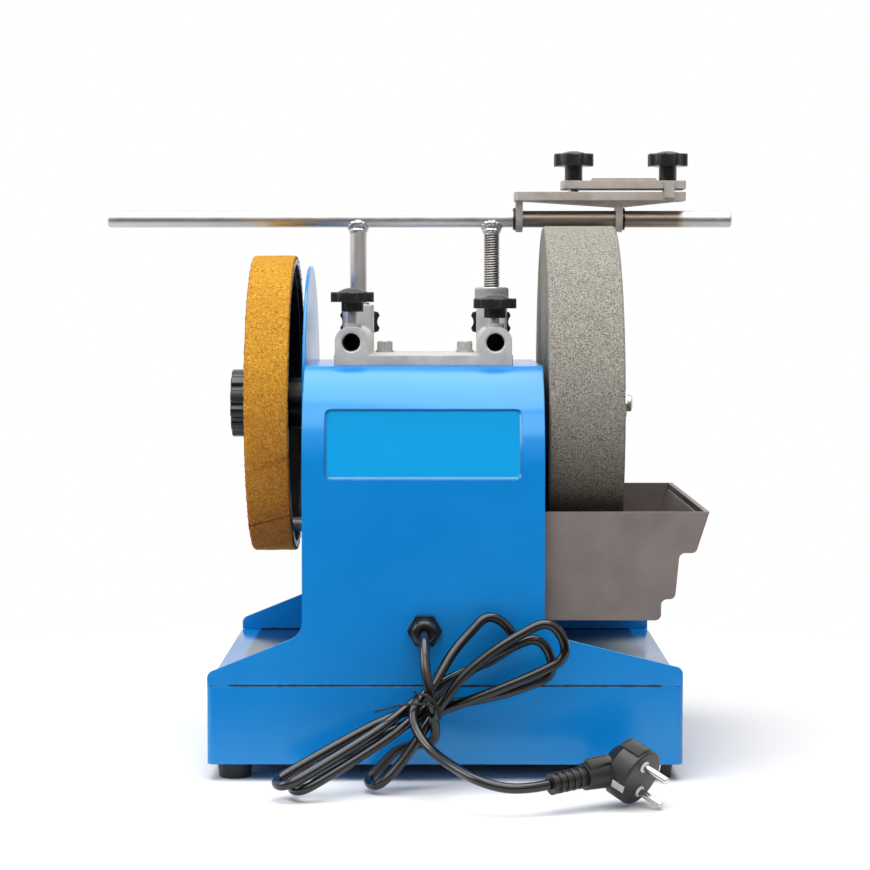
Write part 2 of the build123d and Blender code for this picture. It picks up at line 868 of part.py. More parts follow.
def make_motor_bracket():
    """Two angle brackets, each with a round saddle that the motor case lies in."""
    half = cradle_width / 2
    radius = motor_diameter / 2 + cradle_gap
    top = motor_height - radius + cradle_wrap
    left, right = cradle_places()
    brackets = []
    for x, side in ((left, -1), (right, 1)):
        plate = block(x - cradle_thickness / 2, x + cradle_thickness / 2, -half, half, base_top, top)
        plate -= rod_x(radius, x - cradle_thickness, x + cradle_thickness, 0, motor_height)
        edge = x + side * cradle_thickness / 2
        tip = edge + side * cradle_foot_reach
        foot = block(min(edge, tip), max(edge, tip), -half, half, base_top, base_top + cradle_foot_thickness)
        bracket = plate + foot
        for bx, by in motor_bolt_places():
            bolt_hole = motor_bolt_diameter / 2 + screw_gap
            bracket -= rod_z(bolt_hole, base_top - 1, base_top + cradle_foot_thickness + 1, bx, by)
        brackets.append(bracket)
    return joined(brackets)


def make_motor_bolts():
    seat = base_top + cradle_foot_thickness
    low = base_top - sheet - motor_bolt_diameter
    bolts = []
    for x, y in motor_bolt_places():
        head = extrude(RegularPolygon(motor_bolt_head / 2, 6, major_radius=False), motor_bolt_head_height)
        head = Pos(x, y, seat) * head
        bolts.append(head + rod_z(motor_bolt_diameter / 2, low, seat, x, y))
    return joined(bolts)


def make_capacitor():
    """The motor's run capacitor, lying on the base inside the housing."""
    radius = capacitor_diameter / 2
    z = base_top + radius
    x0, x1 = motor_middle - capacitor_length / 2, motor_middle + capacitor_length / 2
    can = fillet(rod_x(radius, x0, x1, capacitor_place_y, z).edges(), radius / 8)
    for side in (-1, 1):
        tab_y = capacitor_place_y + side * radius / 3
        can += block(
            x1 - 1, x1 + radius / 2, tab_y - radius / 6, tab_y + radius / 6, z - radius / 20, z + radius / 20
        )
    return can


def make_support_bar():
    bar = rod_x(bar_diameter / 2, bar_left, bar_right, leg_place_y, bar_height)
    return chamfer(bar.edges(), bar_chamfer)


def bar_cut():
    return rod_x(bar_diameter / 2 + weld_gap, bar_left, bar_right, leg_place_y, bar_height)


def make_smooth_leg():
    leg = rod_z(bar_diameter / 2, bar_height - leg_length, bar_height, sleeve_left, leg_place_y)
    leg = chamfer(leg.edges().group_by(Axis.Z)[0], bar_chamfer)
    return leg - bar_cut()


def make_threaded_leg():
    """The right-hand leg, with a ring of thread for every pitch below its plain top."""
    crest = bar_diameter / 2
    root = crest - thread_depth
    low = bar_height - leg_length
    thread_top = bar_height - weld_drop - thread_runout
    turns = int((thread_top - low) / thread_pitch)
    points = [(0, low), (root, low)]
    for i in range(turns):
        z = low + i * thread_pitch
        points += [(crest, z + 0.45 * thread_pitch), (crest, z + 0.55 * thread_pitch), (root, z + thread_pitch)]
    last = low + turns * thread_pitch
    points += [(crest, last + thread_pitch), (crest, bar_height), (0, bar_height)]
    return Pos(sleeve_right, leg_place_y, 0) * turned_z(points) - bar_cut()


def make_support_welds():
    """A fillet of weld round each leg where it meets the bar."""
    inner = bar_diameter / 2 + weld_gap
    profile = [
        (inner, bar_height - weld_drop), (weld_diameter / 2, bar_height - weld_rise - bar_diameter / 4),
        (weld_diameter / 2, bar_height - weld_rise), (inner, bar_height - weld_rise),
    ]
    bead = turned_z(profile)
    return joined(Pos(x, leg_place_y, 0) * bead - bar_cut() for x in (sleeve_left, sleeve_right))


def make_height_nut():
    low, high = leg_tower_top, leg_tower_top + height_nut_height
    nut = rod_z(height_nut_diameter / 2, low, high, sleeve_right, leg_place_y)
    nut = chamfer(nut.edges(), height_nut_chamfer)
    return nut - rod_z(bar_diameter / 2 + leg_bore_gap, low - 1, high + 1, sleeve_right, leg_place_y)


def star_knob(diameter, head_height, neck_diameter, neck_height, dome, dome_diameter, hole_radius, hole_depth):
    """A lobed knob standing on its neck at the origin, with a low dome and a blind hole from below."""
    head = extrude(lobed_face(diameter / 2, knob_lobes, knob_bite_radius, knob_bite_depth), head_height)
    head = fillet(head.edges().group_by(Axis.Z)[-1], knob_edge)
    head = Pos(0, 0, neck_height) * head
    neck = Cylinder(neck_diameter / 2, neck_height, align=MIN_Z)
    base = neck_height + head_height
    ball = (dome_diameter * dome_diameter / 4 + dome * dome) / (2 * dome)
    cap = Pos(0, 0, base + dome - ball) * Sphere(ball)
    cap &= Pos(0, 0, base - knob_edge) * Cylinder(dome_diameter / 2 + ball, dome + 2 * knob_edge, align=MIN_Z)
    cap &= Pos(0, 0, base - knob_edge) * Cylinder(dome_diameter / 2, dome + 2 * knob_edge, align=MIN_Z)
    return head + neck + cap - Cylinder(hole_radius, hole_depth, align=MIN_Z)


def casting_knob():
    return star_knob(
        knob_diameter, knob_head_height, knob_neck_diameter, knob_neck_height, knob_dome, knob_dome_diameter,
        clamp_screw_diameter / 2 + running_gap, clamp_screw_in_knob + clamp_tip_gap,
    )


sleeve_seat_z = tower_top + ridge_top + boss_height
sleeve_screw_y = casting_rear + sleeve_screw_setback
leg_seat_y = casting_front + boss_height
sleeve_screw_tip = sleeve_axis_height + sleeve_bore_diameter / 2 + clamp_tip_gap
sleeve_screw_reach = sleeve_seat_z + right_sleeve_stand - sleeve_screw_tip
leg_screw_reach = leg_seat_y + leg_knob_stand - leg_place_y - bar_diameter / 2 - clamp_tip_gap


def sleeve_screw(x, stand):
    z = sleeve_seat_z + stand
    return rod_z(clamp_screw_diameter / 2, z - sleeve_screw_reach, z + clamp_screw_in_knob, x, sleeve_screw_y)


def sleeve_knob(x, stand):
    return Pos(x, sleeve_screw_y, sleeve_seat_z + stand) * casting_knob()


def leg_screw(x):
    y = leg_seat_y + leg_knob_stand
    return rod_y(clamp_screw_diameter / 2, y - leg_screw_reach, y + clamp_screw_in_knob, x, leg_screw_z)


def leg_knob(x):
    return Pos(x, leg_seat_y + leg_knob_stand, leg_screw_z) * Rot(-90, 0, 0) * casting_knob()


def jig_lug(x):
    """A round eye on the bar, carried up to the plate."""
    eye = rod_x(jig_lug_radius, x, x + jig_lug_thickness, leg_place_y, bar_height)
    web = block(
        x, x + jig_lug_thickness, leg_place_y - jig_lug_radius, leg_place_y + jig_lug_radius,
        bar_height, bar_height + jig_plate_bottom,
    )
    return eye + web


jaw_low = bar_height + jig_plate_top + jaw_gap
jaw_high = jaw_low + jaw_thickness


def make_jig_base():
    """The lower casting of the jig: a plate over the bar with two eyes, a web and a tab that guides the jaw."""
    half = jig_depth / 2
    plate = block(
        jig_left, jig_right, leg_place_y - half, leg_place_y + half,
        bar_height + jig_plate_bottom, bar_height + jig_plate_top,
    )
    plate = fillet(plate.edges().filter_by(Axis.Z), jig_corner)
    base = plate + jig_lug(jig_lug_left) + jig_lug(jig_lug_right)
    tab_front = leg_place_y - half - jig_tab_gap - jig_tab_thickness
    tab_low = bar_height + jig_plate_bottom + jig_tab_inset
    base += block(
        jig_tab_left, jig_tab_left + jig_tab_width, tab_front, tab_front + jig_tab_thickness,
        tab_low, jaw_high - jig_tab_inset,
    )
    base += block(
        jig_tab_left, jig_tab_left + jig_tab_width, tab_front, leg_place_y - half + jig_corner,
        tab_low, bar_height + jig_plate_top,
    )
    web_points = [
        (jig_lug_right, bar_height + jig_plate_bottom - jig_web_drop),
        (jig_lug_right + jig_lug_thickness, bar_height + jig_plate_bottom - jig_web_drop),
        (jig_right - jig_corner, bar_height + jig_plate_bottom),
        (jig_lug_left + jig_lug_thickness, bar_height + jig_plate_bottom),
    ]
    web_face = make_face(Polyline(*web_points, close=True))
    for side in (-1, 1):
        y = leg_place_y + side * (jig_lug_radius - jig_web_thickness / 2)
        base += along_y(web_face, y - jig_web_thickness / 2, y + jig_web_thickness / 2)
    bush_bore = bush_diameter / 2 + running_gap
    for x in (jig_lug_left, jig_lug_right):
        base -= rod_x(bush_bore, x - 1, x + jig_lug_thickness + 1, leg_place_y, bar_height)
    stud_bore = jig_stud_diameter / 2 + running_gap
    low, high = bar_height + jig_plate_bottom, bar_height + jig_plate_top
    for x in (jig_stud_left, jig_stud_right):
        base -= rod_z(stud_bore, low - 1, high + 1, x, leg_place_y)
    clear = bar_diameter / 2 + jig_stud_gap
    return base - rod_x(clear, jig_left - 1, jig_right + 1, leg_place_y, bar_height)


def make_jig_bushes():
    """Plastic bushes in the two eyes, each with a flange on the outside."""
    bore, body, flange = bar_diameter / 2 + running_gap, bush_diameter / 2, bush_flange_diameter / 2
    bushes = []
    for outer, inner, side in (
        (jig_lug_left, jig_lug_left + jig_lug_thickness, -1),
        (jig_lug_right + jig_lug_thickness, jig_lug_right, 1),
    ):
        seat = outer + side * running_gap
        tip = seat + side * bush_flange_thickness
        points = [(inner, bore), (inner, body), (seat, body), (seat, flange), (tip, flange), (tip, bore)]
        bushes.append(Pos(0, leg_place_y, 0) * turned_x(points, bar_height))
    return joined(bushes)


def make_jig_clamp():
    half = jig_depth / 2
    jaw = block(jaw_left, jig_right, leg_place_y - half, leg_place_y + half, jaw_low, jaw_high)
    jaw = fillet(jaw.edges().filter_by(Axis.Z), jig_corner)
    ridge_points = [
        (jaw_rise_left - jaw_rise, jaw_high), (jaw_rise_left, jaw_high + jaw_rise),
        (jaw_rise_right, jaw_high + jaw_rise), (jaw_rise_right + jaw_rise, jaw_high),
    ]
    ridge = make_face(Polyline(*ridge_points, close=True))
    jaw += along_y(ridge, leg_place_y - half + jig_corner, leg_place_y + half - jig_corner)
    for x in (jig_stud_left, jig_stud_right):
        jaw -= rod_z(jig_stud_diameter / 2 + jig_stud_gap, jaw_low - 1, jaw_high + jaw_rise + 1, x, leg_place_y)
    return jaw


def make_jig_studs():
    low = bar_height + jig_plate_bottom
    studs = []
    for x in (jig_stud_left, jig_stud_right):
        stud = rod_z(jig_stud_diameter / 2, low, bar_height + jig_stud_reach, x, leg_place_y)
        studs.append(chamfer(stud.edges().group_by(Axis.Z)[-1], jig_stud_diameter / 10))
    return joined(studs)


def jig_knob(x):
    knob = star_knob(
        jig_knob_diameter, jig_knob_head_height, jig_knob_neck_diameter, jig_knob_neck_height,
        jig_knob_dome, jig_knob_dome_diameter, jig_stud_diameter / 2 + running_gap,
        bar_height + jig_stud_reach - jaw_high + clamp_tip_gap,
    )
    return Pos(x, leg_place_y, jaw_high) * knob


def hanger_places():
    """Places of the trough's two hanger screws, as (y, z)."""
    return [(-hanger_spread / 2, trough_rim - hanger_drop), (hanger_spread / 2, trough_rim - hanger_drop)]


trough_left = right_panel_x + trough_gap
trough_ledge_reach = trough_middle_reach + trough_ledge_width
trough_top_reach = trough_ledge_reach + trough_rim_flare
trough_middle_low_reach = trough_middle_reach - trough_middle_taper
trough_low_reach = trough_middle_low_reach - trough_step_width


def trough_outline():
    """The trough's stepped section, in the (X, Z) plane."""
    points = [
        (trough_left, trough_bottom), (trough_low_reach, trough_bottom), (trough_low_reach, trough_step_height),
        (trough_middle_low_reach, trough_step_height), (trough_middle_reach, trough_ledge_height),
        (trough_ledge_reach, trough_ledge_height), (trough_top_reach, trough_rim), (trough_left, trough_rim),
    ]
    face = make_face(Polyline(*points, close=True))
    for x, z in points[:6]:
        face = fillet(corner(face, x, z), trough_round)
    return face


def make_water_trough():
    """An open stepped tray that hangs on two screws by keyholes in its inner wall."""
    outer_face = trough_outline()
    half = trough_depth / 2
    inner_face = offset(outer_face, -trough_wall)
    box = inner_face.bounding_box()
    inside = along_y(inner_face, -half + trough_wall, half - trough_wall)
    mouth = block(
        trough_left + trough_wall, box.max.X, -half + trough_wall, half - trough_wall,
        trough_rim - 2 * trough_wall, trough_rim + 1,
    )
    trough = along_y(outer_face, -half, half) - inside - mouth
    slot = hanger_diameter / 2 + hanger_gap
    hole = hanger_head / 2 + hanger_gap
    x0, x1 = trough_left - 1, trough_left + trough_wall + 1
    for y, z in hanger_places():
        trough -= rod_x(slot, x0, x1, y, z)
        trough -= block(x0, x1, y - slot, y + slot, z - hanger_lift, z)
        trough -= rod_x(hole, x0, x1, y, z - hanger_lift)
    return trough


def make_trough_screws():
    seat = trough_left + trough_wall + hanger_gap
    screws = []
    for y, z in hanger_places():
        shank = rod_x(hanger_diameter / 2, right_panel_x - sheet - hanger_diameter, seat, y, z)
        head = rod_x(hanger_head / 2, seat, seat + hanger_head_thickness, y, z)
        nut = rod_x(hanger_head / 2, right_panel_x - sheet - hanger_diameter, right_panel_x - sheet, y, z)
        screws.append(shank + fillet(head.edges().group_by(Axis.X)[-1], hanger_head_thickness / 3) + nut)
    return joined(screws)


def make_switch_bezel():
    """The switch's flange and body, with a pocket for the rocker."""
    w, h = switch_width / 2, switch_tall / 2
    flange = block(
        tower_offset - w, tower_offset + w, front, front + switch_bezel_thickness,
        switch_height - h, switch_height + h,
    )
    flange = fillet(flange.edges().filter_by(Axis.Y), switch_wall)
    body_w, body_h = w - switch_wall, h - switch_wall
    body = block(
        tower_offset - body_w, tower_offset + body_w, front - switch_depth, front,
        switch_height - body_h, switch_height + body_h,
    )
    pocket_w, pocket_h = body_w - switch_wall, body_h - switch_wall
    pocket = block(
        tower_offset - pocket_w, tower_offset + pocket_w, front - switch_depth + switch_wall,
        front + switch_bezel_thickness + 1, switch_height - pocket_h, switch_height + pocket_h,
    )
    pin = rod_x(rocker_pin_radius, tower_offset - body_w, tower_offset + body_w, rocker_axis_y, switch_height)
    return flange + body - pocket + pin


rocker_axis_y = front - rocker_thickness / 2


def make_switch_rocker():
    """The rocker: two shallow slopes that meet in the middle, on a cross pin."""
    half_w = switch_width / 2 - 2 * switch_wall - rocker_gap
    half_h = switch_tall / 2 - 2 * switch_wall - rocker_gap - rocker_rise / 2
    face_y = front + switch_bezel_thickness
    points = [
        (face_y + rocker_stand, switch_height - half_h), (face_y, switch_height),
        (face_y + rocker_stand, switch_height + half_h), (front - rocker_thickness / 2, switch_height + half_h),
        (front - rocker_thickness, switch_height), (front - rocker_thickness / 2, switch_height - half_h),
    ]
    rocker = along_x(make_face(Polyline(*points, close=True)), tower_offset - half_w, tower_offset + half_w)
    pin = rod_x(
        rocker_pin_radius + running_gap, tower_offset - half_w - 1, tower_offset + half_w + 1,
        rocker_axis_y, switch_height,
    )
    axis = Pos(0, rocker_axis_y, switch_height)
    return axis * Rot(rocker_tilt, 0, 0) * axis.inverse() * (rocker - pin)


gland_mouth_y = rear - gland_nut_thickness - gland_dome_length


def make_cable_gland():
    """A screwed gland: hexagon and dome outside the panel, lock nut inside."""
    plane = Plane(origin=(gland_x, rear, gland_height), x_dir=(1, 0, 0), z_dir=(0, -1, 0))
    hexagon = extrude(plane * RegularPolygon(gland_flats / 2, 6, major_radius=False), gland_nut_thickness)
    dome = rod_y(gland_dome_diameter / 2, gland_mouth_y, rear - gland_nut_thickness, gland_x, gland_height)
    dome = fillet(dome.edges().group_by(Axis.Y)[0], gland_dome_diameter / 5)
    body = rod_y(gland_body_diameter / 2, rear, rear + sheet + gland_nut_thickness, gland_x, gland_height)
    inner_plane = Plane(origin=(gland_x, rear + sheet, gland_height), x_dir=(1, 0, 0), z_dir=(0, 1, 0))
    lock_nut = extrude(inner_plane * RegularPolygon(gland_flats / 2, 6, major_radius=False), gland_nut_thickness)
    inner_end = rear + sheet + gland_nut_thickness
    hole = rod_y(cord_diameter / 2 + gland_gap, gland_mouth_y - 1, inner_end + 1, gland_x, gland_height)
    return hexagon + dome + body + lock_nut - hole


def bend_radii(points, folds):
    """The radius at each inner point of a route: as large as its runs allow, or as given for a fold."""
    radii = []
    for i in range(1, len(points) - 1):
        run_in, run_out = points[i] - points[i - 1], points[i + 1] - points[i]
        half_turn = math.radians(run_in.get_angle(run_out)) / 2
        free_in = run_in.length - folds.get(i - 1, 0)
        free_out = run_out.length - folds.get(i + 1, 0)
        radii.append(folds.get(i, 0.45 * min(free_in, free_out) / math.tan(half_turn)))
    return radii


def cord_tube(name, points, folds):
    """A round tube along a route of straight runs joined by arcs."""
    radii = bend_radii(points, folds)
    path = FilletPolyline(*points, radius=radii)
    section = Plane(origin=points[0], z_dir=points[1] - points[0]) * Circle(cord_diameter / 2)
    tube = sweep(section, path)
    plain = path.length * math.pi * cord_diameter**2 / 4
    print(name, "length", round(path.length, 1), "least radius", round(min(radii), 1))
    print(name, "volume over section times length", round(tube.volume / plain, 4))
    return tube, path


hank_pitch = cord_diameter + hank_gap
hank_lower_direction = (hank_lower_end - hank_waist).normalized()
hank_lower_side = Vector(-hank_lower_direction.Y, hank_lower_direction.X, 0).normalized()
hank_lower_up = hank_lower_direction.cross(hank_lower_side)
hank_towards_viewer = Vector(0, -1, 0)


def hank_point(loop, distance, side, half_width, layer):
    """A point of the hank: distance is along it, above the waist if positive and below it if negative."""
    angle = math.radians(hank_upper_angle[loop])
    upper = Vector(math.cos(angle), hank_upper_lean, math.sin(angle))
    upper_lateral = Vector(-math.sin(angle), 0, math.cos(angle))
    lower = (hank_lower_direction - Vector(0, 0, hank_lower_droop[loop])).normalized()
    along = upper * distance if distance > 0 else lower * -distance
    twist_reach = 6 * cord_diameter
    turned = min(max((twist_reach - distance) / (2 * twist_reach), 0), 1)
    lateral = (upper_lateral * (1 - turned) + hank_lower_side * turned).normalized()
    stacked = (hank_towards_viewer * (1 - turned) - hank_lower_up * turned).normalized()
    depth = (hank_loops / 2 - layer) * hank_pitch
    return hank_waist + along + lateral * (side * half_width) + stacked * depth


def half_width_at(distance, reach, end_half_width):
    """Loops widen from the waist to their folds."""
    waist_half = hank_pitch / 2
    share = min(abs(distance) / (reach - end_half_width), 1)
    return waist_half + (end_half_width - waist_half) * math.sin(share * math.pi / 2)


def hank_run(loop, layer, reach, sign, side, end_half_width, climb, outwards):
    """The points of one side of a loop, from the waist out or from the fold back to the waist."""
    fractions = [0.14, 0.36, 0.62, 0.86]
    points = []
    for f in fractions:
        distance = sign * f * (reach - end_half_width)
        climbed = layer + climb * (1 - f)
        points.append(hank_point(loop, distance, side, half_width_at(distance, reach, end_half_width), climbed))
    return points if outwards else points[::-1]


def hank_fold(loop, layer, reach, sign, side, end_half_width):
    """Two corners of a half turn at the end of a loop, from one side to the other."""
    return [
        hank_point(loop, sign * reach, side, end_half_width, layer),
        hank_point(loop, sign * reach, -side, end_half_width, layer),
    ]


def hank_last_out(loop, reach, end_half_width):
    """The first side of the last loop, which leaves the waist on one side and folds on the other."""
    waist_half = hank_pitch / 2
    points = []
    for share in (0.14, 0.36, 0.62, 0.86):
        lateral = waist_half - (waist_half + end_half_width) * share**1.6
        points.append(hank_point(loop, share * (reach - end_half_width), 1, lateral, loop))
    return points


def hank_last_back(loop, reach, end_half_width):
    """The second side of the last loop, which comes round to the front of the hank."""
    points = []
    for share in (0.86, 0.62, 0.36):
        half_width = end_half_width * (1 - 0.14 * (1 - share))
        layer = loop - (loop + 0.3) * (1 - share) ** 0.7
        points.append(hank_point(loop, share * (reach - end_half_width), 1, half_width, layer))
    return points


def hank_points():
    """The whole hank, for each loop a fold below the waist and one above, and the radii of the folds."""
    points, folds = [], {}
    last = hank_loops - 1
    for loop in range(hank_loops):
        low, high = hank_lower_reach[loop], hank_upper_reach[loop]
        width_low, width_high = hank_lower_half_width, hank_upper_half_width
        out = hank_run(loop, loop, low, -1, -1, width_low, 0, True)
        points += out if loop > 0 else out[3:]
        folds.update({len(points): 0.97 * width_low, len(points) + 1: 0.97 * width_low})
        points += hank_fold(loop, loop, low, -1, -1, width_low)
        points += hank_run(loop, loop, low, -1, 1, width_low, 0, False)
        if loop < last:
            points += hank_run(loop, loop, high, 1, 1, width_high, 0, True)
        else:
            points += hank_last_out(loop, high, width_high)
        side = 1 if loop < last else -1
        folds.update({len(points): 0.97 * width_high, len(points) + 1: 0.97 * width_high})
        points += hank_fold(loop, loop, high, 1, side, width_high)
        if loop < last:
            points += hank_run(loop, loop, high, 1, -1, width_high, 1, False)
        else:
            points += hank_last_back(loop, high, width_high)
    return points, folds


def least_gap(path, step):
    """The least space between a tube and itself, from points along its middle line."""
    count = int(path.length / step)
    points = [path.position_at(i / count) for i in range(count + 1)]
    apart = int(4 * cord_diameter / step)
    least = min(
        (points[i] - points[j]).length for i in range(len(points)) for j in range(i + apart, len(points))
    )
    return least - cord_diameter


def lead_points(end, end_direction):
    """From the gland's bore, out and down past the waist to the hank's first point."""
    return [
        Vector(gland_x, gland_mouth_y + cord_start_depth, gland_height),
        Vector(gland_x, gland_mouth_y - 7, gland_height),
        Vector(gland_x, gland_mouth_y - 18, gland_height - 7),
        Vector(-11.5, -181.5, 80),
        Vector(-6, -184, 65),
        Vector(-1.5, -181, 49),
        Vector(-3, -170.5, 31),
        Vector(-17, -159.5, 28),
        end - end_direction * 14,
        end,
    ]


def plug_plane():
    pin = plug_pin_direction.normalized()
    cord = plug_cord_direction.normalized()
    across = (cord - pin * cord.dot(pin)).normalized()
    return Plane(origin=plug_face, x_dir=across, z_dir=pin)


def plug_arm_start():
    return plug_face - plug_pin_direction.normalized() * plug_length


def plug_cord_entry():
    return plug_arm_start() - plug_cord_direction.normalized() * (plug_arm_length + plug_relief_length)


def make_plug_body():
    """An angled two-pin plug: round face, side arm and a ribbed strain relief."""
    plane = plug_plane()
    head = Pos(0, 0, -plug_length) * Cylinder(plug_radius, plug_length, align=MIN_Z)
    head = fillet(head.edges().group_by(Axis.Z)[-1], 1.5)
    back = Pos(0, 0, -plug_length - plug_back) * Cone(plug_radius * 0.62, plug_radius, plug_back, align=MIN_Z)
    head += back
    cord = plug_cord_direction.normalized()
    arm_plane = Plane(origin=plug_arm_start(), z_dir=-cord)
    relief_start = plug_arm_length
    relief_end = plug_arm_length + plug_relief_length
    profile = [(0, 0), (plug_radius * 0.6, 0), (plug_arm_radius, relief_start)]
    step = plug_relief_length / (2 * plug_relief_ribs)
    for i in range(plug_relief_ribs):
        z = relief_start + 2 * i * step
        profile += [
            (plug_relief_radius - plug_rib_depth, z + 0.1), (plug_relief_radius - plug_rib_depth, z + step),
            (plug_relief_radius, z + step + 0.1), (plug_relief_radius, z + 2 * step),
        ]
    profile += [(0, relief_end)]
    arm = arm_plane * turned_z(profile)
    body = plane * head + arm
    for side in (-1, 1):
        hole = Cylinder(pin_diameter / 2 + running_gap, pin_sink + 1, align=MIN_Z)
        body -= plane * Pos(0, side * pin_spacing / 2, -pin_sink) * hole
        groove = block(
            -earth_clip_width / 2, earth_clip_width / 2, plug_radius - earth_clip_thickness, plug_radius + 1,
            -earth_clip_length, 1,
        )
        body -= plane * (Rot(0, 0, 90 * side) * groove)
    return body


def make_plug_contacts():
    """Two round pins and, at a right angle to their row, two side contacts."""
    plane = plug_plane()
    contacts = []
    for side in (-1, 1):
        pin = Cylinder(pin_diameter / 2, pin_sink + pin_length, align=MIN_Z)
        pin = Pos(0, side * pin_spacing / 2, -pin_sink) * pin
        contacts.append(plane * fillet(pin.edges().group_by(Axis.Z)[-1], pin_diameter / 3))
        strip = block(
            -earth_clip_width / 2 + running_gap, earth_clip_width / 2 - running_gap,
            plug_radius - earth_clip_thickness, plug_radius, -earth_clip_length + running_gap, -running_gap,
        )
        contacts.append(plane * (Rot(0, 0, 90 * side) * strip))
    return joined(contacts)


def tail_points(start, start_direction, end, end_direction):
    """From the hank down past the waist, then in a wide curve to the plug."""
    return [
        start,
        start + start_direction * 10,
        Vector(-17, -180.5, 60.5),
        Vector(-21, -184.5, 51),
        Vector(-17.5, -191, 41),
        Vector(-9, -203, 32),
        Vector(5, -226, 26),
        Vector(22, -245, 20),
        end - end_direction * 22,
        end,
    ]


def make_cord_tie():
    """A turn of wire round the hank's waist."""
    lateral = (hank_point(0, 0.0, 1, 1, 0) - hank_point(0, 0.0, -1, 1, 0)).normalized()
    stacked = (hank_point(0, 0.0, 1, 1, 0) - hank_point(0, 0.0, 1, 1, 1)).normalized()
    centre = hank_waist + lateral * tie_aside + stacked * tie_forward
    plane = Plane(origin=centre, x_dir=lateral, z_dir=lateral.cross(stacked))
    ring = RectangleRounded(tie_width + 2 * tie_wire, tie_depth + 2 * tie_wire, cord_diameter / 2 + tie_wire)
    ring -= RectangleRounded(tie_width, tie_depth, cord_diameter / 2)
    return plane * Pos(0, 0, -tie_wire / 2) * extrude(ring, tie_wire)


hank_route, hank_folds = hank_points()
hank_start, hank_end = hank_route[0], hank_route[-1]
hank_start_direction = (hank_route[1] - hank_route[0]).normalized()
hank_end_direction = (hank_route[-1] - hank_route[-2]).normalized()
lead_route = lead_points(hank_start, hank_start_direction)
tail_route = tail_points(hank_end, hank_end_direction, plug_cord_entry(), plug_cord_direction.normalized())
cord_hank, hank_path = cord_tube("cord_hank", hank_route, hank_folds)
cord_lead, lead_path = cord_tube("cord_lead", lead_route, {})
cord_tail, tail_path = cord_tube("cord_tail", tail_route, {})
print("cord_hank least gap to itself", round(least_gap(hank_path, 2.0), 2))

nodes = {
    "base_pan": make_base_pan(),
    "bottom_cover": make_bottom_cover(),
    "rubber_feet": make_rubber_feet(),
    "foot_screws": make_foot_screws(),
    "housing_shell": make_housing_shell(),
    "left_side_panel": make_left_side_panel(),
    "wheel_shield": make_wheel_shield(),
    "right_side_panel": make_right_side_panel(),
    "panel_screws": make_panel_screws(),
    "support_casting": make_support_casting(),
    "casting_bolts": make_casting_bolts(),
    "casting_washers": make_casting_washers(),
    "main_shaft": make_main_shaft(),
    "shaft_bearings": make_shaft_bearings(),
    "grindstone": make_grindstone(),
    "stone_flanges": make_stone_flanges(),
    "stone_nut": make_stone_nut(),
    "honing_drum": make_honing_drum(),
    "honing_leather": make_honing_leather(),
    "drive_ring": make_drive_ring(),
    "honing_knob": make_honing_knob(),
    "motor_case": make_motor_case(),
    "motor_stator": make_motor_stator(),
    "motor_rotor": make_motor_rotor(),
    "motor_shaft": make_motor_shaft(),
    "motor_bearings": make_motor_bearings(),
    "friction_roller": make_friction_roller(),
    "motor_bracket": make_motor_bracket(),
    "motor_bolts": make_motor_bolts(),
    "capacitor": make_capacitor(),
    "support_bar": make_support_bar(),
    "smooth_leg": make_smooth_leg(),
    "threaded_leg": make_threaded_leg(),
    "support_welds": make_support_welds(),
    "height_nut": make_height_nut(),
    "sleeve_screw_left": sleeve_screw(sleeve_left, left_sleeve_stand),
    "sleeve_screw_right": sleeve_screw(sleeve_right, right_sleeve_stand),
    "sleeve_knob_left": sleeve_knob(sleeve_left, left_sleeve_stand),
    "sleeve_knob_right": sleeve_knob(sleeve_right, right_sleeve_stand),
    "leg_screw_left": leg_screw(sleeve_left),
    "leg_screw_right": leg_screw(sleeve_right),
    "leg_knob_left": leg_knob(sleeve_left),
    "leg_knob_right": leg_knob(sleeve_right),
    "jig_base": make_jig_base(),
    "jig_bushes": make_jig_bushes(),
    "jig_clamp": make_jig_clamp(),
    "jig_studs": make_jig_studs(),
    "jig_knob_left": jig_knob(jig_stud_left),
    "jig_knob_right": jig_knob(jig_stud_right),
    "water_trough": make_water_trough(),
    "trough_screws": make_trough_screws(),
    "switch_bezel": make_switch_bezel(),
    "switch_rocker": make_switch_rocker(),
    "cable_gland": make_cable_gland(),
    "cord_lead": cord_lead,
    "cord_hank": cord_hank,
    "cord_tail": cord_tail,
    "cord_tie": make_cord_tie(),
    "plug_body": make_plug_body(),
    "plug_contacts": make_plug_contacts(),
}

for name, shape in nodes.items():
    export_step(shape, f"parts/{name}.step")
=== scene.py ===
# %% [markdown]
# # A wet sharpening machine
# This lesson dresses a finished CAD model of a bench sharpener: a slow grindstone on the right, a leather
# honing wheel on the left, a support bar above and a mains cord in a tied hank behind. The CAD model is
# the frame. It fixes every size and every joint, so what is left for Blender is surface, small relief and
# light.

# %% Load the frame
import math
from functools import partial

import bmesh
import bpy
from mathutils import Matrix, Vector, noise


